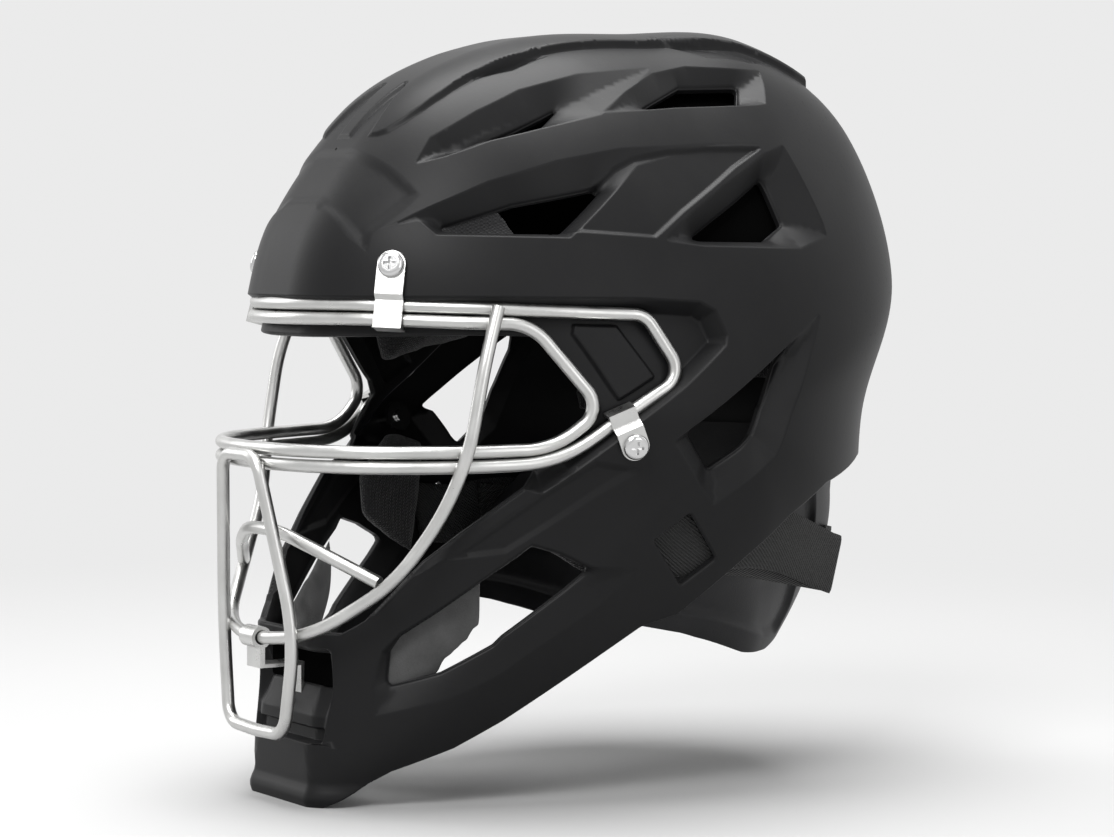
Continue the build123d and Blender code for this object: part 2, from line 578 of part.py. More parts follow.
print("hinge axis", round(hinge_y, 2), round(hinge_z, 2))
save(plate, "nape_plate")
save(nape, "nape_pad")

# Elastic webbing round the nape plate, with its ends behind the cheek slots
slot_y = STRAP_SLOT_MIDDLE_SHARE[0] * HALF_LENGTH
slot_z = STRAP_SLOT_MIDDLE_SHARE[1] * HALF_HEIGHT
end_inset = WALL + FIT_GAP
back_inset = PLATE_INSET - FIT_GAP - STRAP_THICK
front_y = STRAP_FRONT_SHARE * HALF_LENGTH
end_y = STRAP_END_SHARE * HALF_LENGTH
back_y = STRAP_BACK_SHARE * HALF_LENGTH


def webbing(inset, start, end):
    """Webbing that follows the head form at a depth, between two places along Y."""
    block = Box(2 * (HALF_WIDTH + OVERRUN), end - start, STRAP_WIDTH)
    block = Location((0, (start + end) / 2 - slot_y, 0)) * block
    block = Location((0, slot_y, slot_z), (-STRAP_TILT_DEG, 0, 0)) * block
    return one((form(inset) & block) - form(inset + STRAP_THICK))


left_end = webbing(end_inset, front_y, end_y)
left_end = left_end if left_end.center().X > 0 else mirrored(left_end)
save(left_end, "strap_end_left")
save(mirrored(left_end), "strap_end_right")
save(webbing(back_inset, back_y, 2 * HALF_LENGTH), "back_strap")
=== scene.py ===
import math
from functools import lru_cache

import bmesh
import bpy
import numpy as np
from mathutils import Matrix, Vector, kdtree
from mathutils.geometry import delaunay_2d_cdt


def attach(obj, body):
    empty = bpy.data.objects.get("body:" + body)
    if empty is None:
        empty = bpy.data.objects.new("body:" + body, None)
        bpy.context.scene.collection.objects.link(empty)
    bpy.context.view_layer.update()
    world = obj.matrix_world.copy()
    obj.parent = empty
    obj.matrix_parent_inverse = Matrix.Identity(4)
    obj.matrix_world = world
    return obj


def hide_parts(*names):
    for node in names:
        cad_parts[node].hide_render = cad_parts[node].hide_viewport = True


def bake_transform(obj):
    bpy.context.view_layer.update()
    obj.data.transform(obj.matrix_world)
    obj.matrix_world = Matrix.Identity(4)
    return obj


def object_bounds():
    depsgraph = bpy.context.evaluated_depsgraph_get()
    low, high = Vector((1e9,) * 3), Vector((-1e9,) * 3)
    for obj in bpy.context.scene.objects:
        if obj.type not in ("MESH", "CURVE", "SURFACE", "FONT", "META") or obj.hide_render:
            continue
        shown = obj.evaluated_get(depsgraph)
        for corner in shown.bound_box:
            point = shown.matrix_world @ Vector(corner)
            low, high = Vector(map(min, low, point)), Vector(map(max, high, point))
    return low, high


bl_info = {
    "name": "Catcher helmet",
    "version": (1, 0, 0),
    "blender": (4, 5, 0),
    "location": "3D View > Sidebar > Helmet",
    "description": "Dresses a packed catcher helmet: shell, wire cage, liner, webbing and studio",
    "category": "Object",
}

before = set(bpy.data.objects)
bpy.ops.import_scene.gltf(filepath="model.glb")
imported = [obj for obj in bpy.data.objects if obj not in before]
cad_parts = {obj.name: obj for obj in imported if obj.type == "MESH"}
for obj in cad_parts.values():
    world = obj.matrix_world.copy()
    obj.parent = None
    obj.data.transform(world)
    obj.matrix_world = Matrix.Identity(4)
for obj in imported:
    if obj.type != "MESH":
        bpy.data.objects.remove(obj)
FRAME_BOX = [list(corner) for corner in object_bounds()]

# The head form that the shell, the liner and the webbing follow, in metres
HALF_WIDTH = 0.106
HALF_LENGTH = 0.140
HALF_HEIGHT = 0.148
NOSE_FLAT = 0.011
CHIN_FLAT = 0.022
EAR_SHARE = (0.157, 0.034)
OUTLINE_SHARES = [
    (0.772, 0.000), (0.899, 0.397), (0.721, 0.813), (0.384, 0.997), (0.000, 1.000),
    (-0.374, 0.971), (-0.739, 0.833), (-1.002, 0.547), (-1.097, 0.278), (-1.143, 0.000),
    (-1.074, -0.370), (-1.059, -0.701), (-1.042, -1.021), (-0.704, -1.153), (-0.198, -1.065),
    (0.305, -0.790), (0.690, -0.457),
]
SKULL_POWERS = (1.8, 1.85)
CHIN_POWERS = (1.2, 1.35)
CHIN_DIRECTION_DEG = 232.0
CHIN_BLEND_DEG = 62.0
FULL_TURN = 2 * math.pi
TINY = 1e-9

# Openings of the shell in the side view
RIM_SHARES = [
    (-1.6, -0.975), (-0.88, -0.970), (-0.735, -0.880), (-0.580, -0.824), (-0.454, -0.755),
    (-0.295, -0.651), (-0.094, -0.518), (0.014, -0.490), (0.187, -0.348), (0.336, -0.237),
    (0.479, -0.159), (0.72, -0.105), (1.6, -0.06), (1.6, -2.2), (-1.6, -2.2),
]
FACE_SHARES = [
    (-1.6, 0.262), (-0.592, 0.257), (-0.451, 0.252), (-0.300, 0.092), (-0.286, 0.047),
    (-0.426, -0.107), (-0.619, -0.263), (-0.698, -0.334), (-0.742, -0.390), (-0.811, -0.484),
    (-0.856, -0.520), (-1.6, -0.520),
]
JAW_SHARES = [
    (-0.765, -0.654), (-0.757, -0.566), (-0.736, -0.526), (-0.657, -0.466), (-0.549, -0.380),
    (-0.472, -0.324), (-0.440, -0.295), (-0.364, -0.318), (-0.277, -0.359), (-0.336, -0.409),
    (-0.498, -0.529), (-0.519, -0.552), (-0.645, -0.620),
]
EAR_VENT_SHARES = [
    (-0.047, 0.001), (0.255, 0.195), (0.296, 0.220), (0.256, 0.141), (0.180, -0.020),
    (0.050, -0.116),
]
FRONT_VENT_SHARES = [
    (-0.652, 0.536), (-0.629, 0.516), (-0.364, 0.514), (-0.207, 0.637), (-0.215, 0.644),
    (-0.464, 0.597),
]
TOP_VENT_SHARES = [(-0.589, 0.716), (-0.233, 0.863), (-0.331, 0.795), (-0.473, 0.757)]
CREST_VENT_SHARES = [(0.001, 0.850), (0.194, 0.926), (0.403, 0.933), (0.354, 0.874)]
REAR_VENT_SHARES = [(0.350, 0.680), (0.386, 0.549), (0.285, 0.501), (0.029, 0.503)]
STRAP_SLOT_SHARES = [(-0.108, -0.284), (-0.008, -0.216), (0.094, -0.342), (0.000, -0.410)]

# Facets and ledges round them
STRIP_SHARES = [
    (-0.245, 0.634), (-0.160, 0.688), (-0.098, 0.711), (0.020, 0.728), (0.143, 0.737),
    (0.350, 0.740), (0.225, 0.682), (0.140, 0.634), (0.010, 0.564), (-0.095, 0.497),
    (-0.233, 0.506), (-0.345, 0.513), (-0.385, 0.522), (-0.270, 0.612),
]
EAR_GROOVE_SHARES = [
    (-0.091, -0.027), (-0.050, 0.003), (0.433, 0.309), (0.241, -0.072), (0.055, -0.199),
]
FRONT_GROOVE_SHARES = [
    (-0.776, 0.518), (-0.665, 0.574), (-0.513, 0.641), (-0.324, 0.695), (-0.129, 0.729),
    (0.210, 0.749), (0.428, 0.747), (0.249, 0.743), (0.102, 0.730), (-0.091, 0.689),
    (-0.340, 0.497), (-0.662, 0.504), (-0.691, 0.540),
]
TOP_GROOVE_SHARES = [
    (-0.662, 0.684), (-0.601, 0.757), (-0.473, 0.825), (-0.336, 0.883), (-0.141, 0.930),
    (0.120, 0.955), (-0.144, 0.818), (-0.316, 0.783), (-0.473, 0.747), (-0.589, 0.706),
]
CREST_GROOVE_SHARES = [
    (-0.146, 0.822), (-0.029, 0.883), (0.103, 0.936), (0.235, 0.960), (0.500, 0.955),
    (0.432, 0.859), (0.394, 0.855), (0.112, 0.842),
]
REAR_GROOVE_SHARES = [
    (0.424, 0.748), (0.338, 0.720), (0.160, 0.631), (0.029, 0.560), (-0.080, 0.489),
    (0.051, 0.476), (0.384, 0.469), (0.501, 0.503), (0.496, 0.536),
]
LEDGE_SHARES = [
    (-1.6, 0.348), (-0.541, 0.348), (-0.176, 0.344), (0.007, 0.334), (0.054, 0.311),
    (0.081, 0.246), (0.074, 0.219), (-0.062, 0.113), (-0.213, 0.012), (-0.256, -0.027),
    (-0.352, -0.099), (-0.426, -0.155), (-0.60, -0.12), (-0.60, 0.15), (-1.6, 0.15),
]
TEMPLE_PANEL_SHARES = [
    (-0.361, 0.257), (-0.354, 0.285), (-0.230, 0.282), (-0.126, 0.142), (-0.238, 0.080),
]
LIP_SHARES = [
    (-0.352, -0.110), (-0.427, -0.162), (-0.594, -0.294), (-0.712, -0.367), (-0.790, -0.470),
    (-0.90, -0.45), (-0.70, -0.20), (-0.45, -0.02),
]
CHEEK_SHARES = [
    (-0.501, -0.311), (-0.373, -0.225), (-0.278, -0.160), (-0.162, -0.093), (-0.30, -0.070),
    (-0.427, -0.150), (-0.594, -0.280), (-0.66, -0.330),
]
JAW_GROOVE_SHARES = [
    (-0.791, -0.732), (-0.623, -0.685), (-0.496, -0.623), (-0.397, -0.553), (-0.239, -0.451),
    (-0.132, -0.356), (-0.277, -0.347), (-0.364, -0.306), (-0.440, -0.283), (-0.549, -0.368),
    (-0.657, -0.454), (-0.736, -0.514), (-0.773, -0.562), (-0.788, -0.640),
]
SCOOP_SHARES = [
    (-0.729, 0.744), (-0.729, 0.725), (-0.695, 0.670), (-0.664, 0.609), (-0.700, 0.575),
    (-0.790, 0.505), (-0.809, 0.455), (-0.837, 0.498), (-0.852, 0.568), (-0.790, 0.680),
]

# Places given by a heading from the ear in degrees and a distance from the mid-plane
CROWN_BAND_PLACES = [
    (138.5, 0.000), (138.5, 0.0055), (133.0, 0.0068), (127.5, 0.0088), (133.0, 0.0135),
    (138.3, 0.0168), (137.8, 0.0220), (136.8, 0.0255), (134.4, 0.0288), (131.2, 0.0310),
    (127.5, 0.0318), (123.0, 0.0312), (108.0, 0.0300), (95.0, 0.0280), (80.0, 0.0285),
    (70.0, 0.0310), (61.0, 0.0310), (57.5, 0.0280), (57.0, 0.0000),
]
SLIT_PLACES = [(124.0, 0.030), (116.0, 0.0345), (108.0, 0.031), (114.0, 0.030)]
REAR_FACET_PLACES = [
    (88.0, 0.023), (80.5, 0.0255), (71.0, 0.0315), (66.0, 0.0340), (72.0, 0.0400), (80.0, 0.0385),
]

# The chin's slot, the shelf and undercut below it, and its flared lower edge
CHIN_SLOT_HALF = 0.0286
CHIN_SLOT_HEIGHTS = (-0.0851, -0.0984)
CHIN_SHELF_HEIGHTS = (-0.1095, -0.1135, -0.1185)
CHIN_SHELF_DEPTHS = (0.0060, 0.0016, 0.0040)
CHIN_BEVEL = 0.0022
CHIN_UNDERCUT = 0.0006
CHIN_FLARE = 0.0034
CHIN_FLARE_HEIGHT = -0.1340
CHIN_FLARE_RUN = 0.007
CHIN_FLARE_END = -0.030
CHIN_FLARE_FADE = 0.05
CHIN_FLARE_TOP = -0.1
CHIN_FLARE_HALF = 0.0600
CHIN_FRONT_LIMIT = -0.095
CHIN_LINE_HEIGHTS = (-0.0829, -0.1095, -0.1135, -0.1141, -0.1185, -0.1199)
CHIN_FOOT_HALF = 0.0262
CHIN_WALL_SHIFTS = (-0.0004, 0.0012)
CHIN_FLARE_LINES = (-0.1340, -0.1357, -0.1375, -0.1393, -0.1410)
BESIDE_LINE = 0.0005
BESIDE_CLEAR = 0.9

# How the crown's raised band runs out towards the forehead
CROWN_TAPER_HEADINGS = (116.0, 138.5)
CROWN_TAPERS = (1.0, 0.30)
CROWN_LOWEST = 0.06

# How far a line of the front runs past the mid-plane
HOLE_BEYOND = -0.02
LINE_BEYOND = -0.01

# Radius of the rounded edges, and the step of lines drawn on the form
RIM_ROUND = 0.0011
TRACE_STEP = 0.002

# Each opening: its outline and its corner radius
OPENINGS = {
    "rim": (RIM_SHARES, 0.006),
    "face": (FACE_SHARES, 0.002),
    "jaw": (JAW_SHARES, 0.0025),
    "ear vent": (EAR_VENT_SHARES, 0.002),
    "front vent": (FRONT_VENT_SHARES, 0.002),
    "top vent": (TOP_VENT_SHARES, 0.002),
    "crest vent": (CREST_VENT_SHARES, 0.002),
    "rear vent": (REAR_VENT_SHARES, 0.002),
    "strap slot": (STRAP_SLOT_SHARES, 0.0015),
}
# Each facet: outline, depth, slope, the opening it runs down to, corner radius, and soft or not
FACETS = [
    (EAR_GROOVE_SHARES, 0.006, 1.3, "ear vent", 0.0015, False),
    (FRONT_GROOVE_SHARES, 0.0065, 1.3, "front vent", 0.0015, False),
    (STRIP_SHARES, 0.0014, 0.8, None, 0.001, False),
    (TOP_GROOVE_SHARES, 0.006, 1.3, "top vent", 0.0015, False),
    (CREST_GROOVE_SHARES, 0.005, 1.3, "crest vent", 0.0015, False),
    (REAR_GROOVE_SHARES, 0.008, 1.3, "rear vent", 0.0015, False),
    (LEDGE_SHARES, 0.008, 1.7, None, 0.0015, False),
    (TEMPLE_PANEL_SHARES, -0.0020, 2.0, None, 0.0015, False),
    (LIP_SHARES, 0.0025, 1.0, "face", 0.0015, False),
    (CHEEK_SHARES, 0.0015, 0.5, None, 0.0015, False),
    (JAW_GROOVE_SHARES, 0.0035, 1.0, "jaw", 0.0015, False),
    (SCOOP_SHARES, 0.0010, 0.16, None, 0.0015, True),
]
# Each facet of the crown: outline, depth and slope
CROWN_FACETS = [
    (CROWN_BAND_PLACES, -0.0032, 1.6), (SLIT_PLACES, 0.0022, 1.2), (REAR_FACET_PLACES, 0.0015, 0.5),
]


def spline_outline(turns):
    """Points of the side outline, as offsets from the ear, at turns from 0 to 1."""
    table = np.array(OUTLINE_SHARES)
    place = (turns % 1.0) * len(table)
    index = place.astype(int)
    t = (place - index)[:, None]
    a, b, c, d = (table[(index + k) % len(table)] for k in (-1, 0, 1, 2))
    curve = b + 0.5 * t * (c - a + t * (2 * a - 5 * b + 4 * c - d + t * (3 * b - a - 3 * c + d)))
    return curve * (HALF_LENGTH, HALF_HEIGHT)


def flat_grid(table, rows, columns):
    """Values of a table between its rows and columns, by bilinear weights."""
    rows = np.clip(rows, 0, table.shape[0] - 1.0001)
    columns = np.clip(columns, 0, table.shape[1] - 1.0001)
    i, j = rows.astype(int), columns.astype(int)
    u, v = rows - i, columns - j
    low = table[i, j] * (1 - v) + table[i, j + 1] * v
    high = table[i + 1, j] * (1 - v) + table[i + 1, j + 1] * v
    return low * (1 - u) + high * u


class HeadForm:
    """The head form seen from the ear: a heading and a length along the skin give a place on it."""

    HEADINGS = 720
    STEPS = 300
    DEEPEST = (-0.01, 0.06)
    DEPTH_HALVINGS = 24
    RAY_LENGTH = 0.3
    RAY_HALVINGS = 36
    NEAR_RIM = 0.6
    FRONT_HEADINGS = (150, 262)
    FRONT_STEPS = 2000
    OUTLINE_BEYOND = 1.15
    PLACES_BEYOND = 1.05
    SETTLE_PROBE = 1e-5
    SETTLE_ROUNDS = 4
    SETTLE_MOST = 0.002

    def __init__(self, inset=0.0):
        self.ear = np.array([EAR_SHARE[0] * HALF_LENGTH, EAR_SHARE[1] * HALF_HEIGHT])
        self.half = HALF_WIDTH - inset
        offsets = spline_outline(np.linspace(0, 1, 2 * self.HEADINGS, endpoint=False))
        angles = np.arctan2(offsets[:, 1], offsets[:, 0]) % FULL_TURN
        order = np.argsort(angles)
        self.angles = angles[order]
        self.radii = np.hypot(offsets[:, 0], offsets[:, 1])[order] - inset
        turn = np.linspace(0, FULL_TURN, self.HEADINGS + 1)
        self.k = np.sin(np.linspace(0, math.pi / 2, self.STEPS + 1))
        p, q, flat = self.profile(turn)
        x = self.cross(self.k[None], p[:, None], q[:, None], flat[:, None])
        r = self.k[None] * self.reach(turn)[:, None]
        steps = np.hypot(np.diff(x, axis=1), np.diff(r, axis=1))
        self.length = np.concatenate([np.zeros((len(turn), 1)), np.cumsum(steps, axis=1)], axis=1)
        self.full = self.length[:, -1] + flat
        share = np.linspace(0, 1, self.STEPS + 1)
        self.k_at = np.empty_like(self.length)
        self.x_at = np.empty_like(self.length)
        for i in range(len(turn)):
            s = share * self.full[i]
            self.k_at[i] = np.interp(s, self.length[i], self.k)
            on_form = np.interp(s, self.length[i], x[i])
            self.x_at[i] = np.where(s < self.length[i, -1], on_form, self.full[i] - s)

    def reach(self, angle):
        """Distance from the ear to the side outline at a heading."""
        return np.interp(angle % FULL_TURN, self.angles, self.radii, period=FULL_TURN)

    def profile(self, angle):
        """Both powers of the cross-section at a heading, and half the width of its flat strip."""
        up, back = np.sin(angle) / HALF_HEIGHT, np.cos(angle) / HALF_LENGTH
        heading = np.degrees(np.arctan2(up, back)) % 360
        t = np.clip(1 - np.abs(heading - CHIN_DIRECTION_DEG) / CHIN_BLEND_DEG, 0, 1)
        t = t * t * (3 - 2 * t)
        p, q = (a + (b - a) * t for a, b in zip(SKULL_POWERS, CHIN_POWERS))
        return p, q, NOSE_FLAT + (CHIN_FLAT - NOSE_FLAT) * t

    def cross(self, k, p, q, flat):
        """Distance from the mid-plane at a share of the reach."""
        return flat + (self.half - flat) * np.maximum(0, 1 - k ** p) ** (1 / q)

    def row(self, angle):
        """Row of the tables that a heading falls in."""
        return (angle % FULL_TURN) / FULL_TURN * self.HEADINGS

    def total(self, angle):
        """Length along the skin from the ear to the mid-plane."""
        return np.interp(self.row(angle), np.arange(self.HEADINGS + 1), self.full)

    def edge(self, angle):
        """Length along the skin from the ear to the flat strip at the mid-plane."""
        return np.interp(self.row(angle), np.arange(self.HEADINGS + 1), self.length[:, -1])

    def spread(self, k, angle):
        """Length along the skin from the ear to a share of the reach."""
        column = np.arcsin(np.clip(k, 0, 1)) / (math.pi / 2) * self.STEPS
        return flat_grid(self.length, self.row(angle), column)

    def lay(self, points):
        """Places on the flattened half that points lie under or over, and how deep they lie."""
        near = np.abs(points)
        offset = points[:, 1:] - self.ear
        angle = np.arctan2(offset[:, 1], offset[:, 0])
        outer = self.gauge(points)
        low, high = (np.full(len(points), value) for value in self.DEEPEST)
        r = np.hypot(offset[:, 0], offset[:, 1])
        for _ in range(self.DEPTH_HALVINGS):
            middle = (low + high) / 2
            reach = self.reach(angle) - middle
            p, q, flat = self.profile(angle)
            u = np.clip((near[:, 0] - flat) / (self.half - middle - flat), 0, None)
            out = (r / reach) ** p + u ** q > 1
            high = np.where(out, middle, high)
            low = np.where(out, low, middle)
        k = np.clip(r / (self.reach(angle) - low), 0, 1)
        p, q, flat = self.profile(angle)
        on_strip = self.edge(angle) + flat - near[:, 0]
        length = np.where(near[:, 0] < flat, on_strip, self.spread(k, angle))
        return self.at(angle, length), np.where(outer > 1, np.minimum(low, 0), low)

    def place(self, flat_points):
        """Skin points of places on the flattened half, past the mid-plane too."""
        angle = np.arctan2(flat_points[:, 1], flat_points[:, 0])
        share = np.hypot(flat_points[:, 0], flat_points[:, 1]) / self.total(angle)
        side = np.where(share > 1, -1.0, 1.0)
        share = np.where(share > 1, 2 - share, share)
        row = self.row(angle)
        k = flat_grid(self.k_at, row, share * self.STEPS)
        x = flat_grid(self.x_at, row, share * self.STEPS)
        p, q, flat = self.profile(angle)
        u = np.clip((x - flat) / (self.half - flat), 0, 1)
        near_rim = u < self.NEAR_RIM
        k = np.where(near_rim, (1 - u ** q) ** (1 / p), k)
        x = np.where(near_rim, x, self.cross(k, p, q, flat))
        r = k * self.reach(angle)
        y, z = self.ear[0] + r * np.cos(angle), self.ear[1] + r * np.sin(angle)
        return np.stack([side * x, y, z], axis=1)

    def gauge(self, points):
        """How far out points are: under 1 within the form, over 1 outside it."""
        offset = points[..., 1:] - self.ear
        angle = np.arctan2(offset[..., 1], offset[..., 0])
        k = np.hypot(offset[..., 0], offset[..., 1]) / self.reach(angle)
        p, q, flat = self.profile(angle)
        u = np.clip((np.abs(points[..., 0]) - flat) / (self.half - flat), 0, None)
        return k ** p + u ** q

    def hit(self, origin, direction):
        """Where rays from within the form leave it."""
        low = np.zeros(direction.shape[:-1])
        high = np.full(direction.shape[:-1], self.RAY_LENGTH)
        for _ in range(self.RAY_HALVINGS):
            middle = (low + high) / 2
            out = self.gauge(origin + direction * middle[..., None]) > 1
            high = np.where(out, middle, high)
            low = np.where(out, low, middle)
        return origin + direction * low[..., None]

    def flatten(self, shares):
        """Headings of points of the side view, given as shares, and their shares of the reach."""
        points = np.array(shares, float) * (HALF_LENGTH, HALF_HEIGHT) - self.ear
        angle = np.arctan2(points[:, 1], points[:, 0])
        k = np.hypot(points[:, 0], points[:, 1]) / self.reach(angle)
        return angle, k

    def at(self, angle, length):
        """Place on the flattened half at a heading and a length along the skin."""
        return np.stack([length * np.cos(angle), length * np.sin(angle)], axis=-1)

    def from_middle(self, angle, x):
        """Place on the flattened half at a heading and a distance from the mid-plane."""
        p, q, flat = self.profile(angle)
        u = np.clip((x - flat) / (self.half - flat), 0, 1)
        k = (1 - u ** q) ** (1 / p)
        on_strip = self.edge(angle) + flat - x
        return self.at(angle, np.where(x < flat, on_strip, self.spread(k, angle)))

    def trace(self, shares):
        """Outline of the side view laid on the flattened half, drawn out past the mid-plane."""
        corners = np.array(shares + shares[:1], float)
        result = []
        for a, b in zip(corners[:-1], corners[1:]):
            run = np.linalg.norm((b - a) * (HALF_LENGTH, HALF_HEIGHT))
            count = max(1, int(math.ceil(run / TRACE_STEP)))
            line = a + (b - a) * np.linspace(0, 1, count + 1)[:, None]
            angle, k = self.flatten(line)
            for i in range(count):
                if k[i] < 1:
                    result.append(self.at(angle[i], self.spread(k[i:i + 1], angle[i:i + 1])[0]))
                else:
                    result.append(self.at(angle[i], self.total(angle[i]) * self.OUTLINE_BEYOND))
                if (k[i] < 1) != (k[i + 1] < 1):
                    share = (1 - k[i]) / (k[i + 1] - k[i])
                    turn = ((angle[i + 1] - angle[i] + math.pi) % FULL_TURN) - math.pi
                    bend = angle[i] + turn * share
                    far = self.total(bend) * self.OUTLINE_BEYOND
                    ends = [self.at(bend, self.edge(bend)), self.at(bend, far)]
                    result += ends if k[i] < 1 else ends[::-1]
        return np.array(result)

    def on_front(self, x, z):
        """Rough place on the flattened half for a distance and a height of the front."""
        angles = np.radians(np.linspace(*self.FRONT_HEADINGS, self.FRONT_STEPS))
        p, q, flat = self.profile(angles)
        u = np.clip((abs(x) - flat) / (self.half - flat), 0, 1)
        heights = self.ear[1] + (1 - u ** q) ** (1 / p) * self.reach(angles) * np.sin(angles)
        angle = np.interp(-z, -heights, angles)
        if x < 0:
            return self.at(angle, 2 * self.total(angle) - self.from_middle_length(angle, -x))
        return self.at(angle, self.from_middle_length(angle, x))

    def settle(self, flat, targets):
        """Moves places until their skin points have these distances and heights."""
        step = self.SETTLE_PROBE
        for _ in range(self.SETTLE_ROUNDS):
            here = self.place(flat)[:, [0, 2]]
            across = (self.place(flat + (step, 0))[:, [0, 2]] - here) / step
            up = (self.place(flat + (0, step))[:, [0, 2]] - here) / step
            lack = targets - here
            det = across[:, 0] * up[:, 1] - up[:, 0] * across[:, 1]
            a = (lack[:, 0] * up[:, 1] - up[:, 0] * lack[:, 1]) / det
            b = (across[:, 0] * lack[:, 1] - lack[:, 0] * across[:, 1]) / det
            flat = flat + np.clip(np.stack([a, b], axis=1), -self.SETTLE_MOST, self.SETTLE_MOST)
        return flat

    def from_middle_length(self, angle, x):
        """Length along the skin from the ear to a distance from the mid-plane."""
        place = self.from_middle(np.array([angle]), np.array([x]))[0]
        return math.hypot(place[0], place[1])

    def trace_front(self, corners, closed=True):
        """Line of the front, from distances to the mid-plane and heights."""
        targets = []
        ends = corners[1:] + (corners[:1] if closed else [])
        for (x, z), (x1, z1) in zip(corners, ends):
            count = max(1, int(math.hypot(x1 - x, z1 - z) / TRACE_STEP))
            shares = np.linspace(0, 1, count, endpoint=False)
            targets += [(x + (x1 - x) * t, z + (z1 - z) * t) for t in shares]
        if not closed:
            targets.append(corners[-1])
        start = np.array([self.on_front(x, z) for x, z in targets])
        return self.settle(start, np.array(targets))

    def trace_places(self, places):
        """Outline from headings and distances to the mid-plane, drawn out past the mid-plane."""
        result = []
        for (a, x), (b, y) in zip(places, places[1:] + places[:1]):
            run = abs(math.radians(b - a)) * HALF_HEIGHT
            count = max(1, int(run / TRACE_STEP), int(abs(y - x) / TRACE_STEP))
            for t in np.linspace(0, 1, count, endpoint=False):
                angle = math.radians(a + (b - a) * t)
                x_here = x + (y - x) * t
                if x_here <= 0:
                    result.append(self.at(angle, self.total(angle) * self.PLACES_BEYOND))
                else:
                    result.append(self.from_middle(np.array([angle]), np.array([x_here]))[0])
        return np.array(result)


def inside(points, outline):
    """Which points lie within a closed outline."""
    result = np.zeros(len(points), bool)
    x, y = points[:, 0], points[:, 1]
    for a, b in zip(outline, np.roll(outline, -1, axis=0)):
        if a[1] == b[1]:
            continue
        crossing = (a[1] > y) != (b[1] > y)
        result ^= crossing & (x < (b[0] - a[0]) * (y - a[1]) / (b[1] - a[1]) + a[0])
    return result


def distance(points, outline):
    """Distance from each point to a closed outline."""
    best = np.full(len(points), np.inf)
    for a, b in zip(outline, np.roll(outline, -1, axis=0)):
        run = b - a
        size = run @ run
        if size == 0:
            continue
        t = np.clip(((points - a) @ run) / size, 0, 1)
        best = np.minimum(best, np.hypot(*(points - a - t[:, None] * run).T))
    return best


SHARP_DEG = 14
MOST_CUT = 0.45
CORNER_POINTS = 5
NEARLY_STRAIGHT = 0.00005
RING_CLEAR = 0.93


def soften(outline, radius):
    """Outline with its corners rounded."""
    result = []
    count = len(outline)
    for i in range(count):
        before, here, after = outline[i - 1], outline[i], outline[(i + 1) % count]
        a, b = before - here, after - here
        la, lb = np.linalg.norm(a), np.linalg.norm(b)
        turn = math.pi - math.acos(max(-1.0, min(1.0, (a @ b) / (la * lb))))
        if math.degrees(turn) < SHARP_DEG:
            result.append(here)
            continue
        cut = min(radius * math.tan(turn / 2), MOST_CUT * la, MOST_CUT * lb)
        start, end = here + a / la * cut, here + b / lb * cut
        for t in np.linspace(0, 1, CORNER_POINTS):
            result.append((1 - t) ** 2 * start + 2 * t * (1 - t) * here + t * t * end)
    return np.array(result)


def simplify(outline):
    """Outline without the points that lie along its nearly straight runs."""
    turns = []
    count = len(outline)
    for i in range(count):
        a = outline[i] - outline[i - 1]
        b = outline[(i + 1) % count] - outline[i]
        turns.append(abs(math.atan2(a[0] * b[1] - a[1] * b[0], a @ b)))
    outline = np.roll(outline, -int(np.argmax(turns)), axis=0)
    outline = np.concatenate([outline, outline[:1]])

    def kept(first, last):
        run = outline[last] - outline[first]
        size = np.linalg.norm(run)
        between = outline[first + 1:last] - outline[first]
        if not len(between):
            return []
        if size > 0:
            away = np.abs(between @ (-run[1], run[0])) / size
        else:
            away = np.linalg.norm(between, axis=1)
        far = int(np.argmax(away))
        if away[far] < NEARLY_STRAIGHT:
            return []
        middle = first + 1 + far
        return kept(first, middle) + [middle] + kept(middle, last)

    return outline[[0] + kept(0, len(outline) - 1)]


def resample(outline, step, closed=True):
    """Points along an outline, evenly spaced between its corners."""
    result = []
    ends = np.roll(outline, -1, axis=0) if closed else outline[1:]
    for a, b in zip(outline, ends):
        count = max(1, int(round(np.linalg.norm(b - a) / step)))
        result += [a + (b - a) * t for t in np.linspace(0, 1, count, endpoint=False)]
    if not closed:
        result.append(outline[-1])
    return np.array(result)


def ring(outline, offset, step):
    """Points beside an outline, a signed distance to its left."""
    points = resample(outline, step)
    along = np.roll(points, -1, axis=0) - np.roll(points, 1, axis=0)
    along /= np.maximum(np.linalg.norm(along, axis=1), TINY)[:, None]
    moved = points + np.stack([-along[:, 1], along[:, 0]], axis=1) * offset
    return moved[distance(moved, outline) > abs(offset) * RING_CLEAR]


def ring_pair(outline, offset, step):
    """Points beside an outline on both of its sides."""
    return [ring(outline, offset, step), ring(outline, -offset, step)]


def smooth_step(value, low, high):
    """0 below the low value, 1 above the high one, and a soft rise between them."""
    t = np.clip((value - low) / (high - low), 0, 1)
    return t * t * (3 - 2 * t)


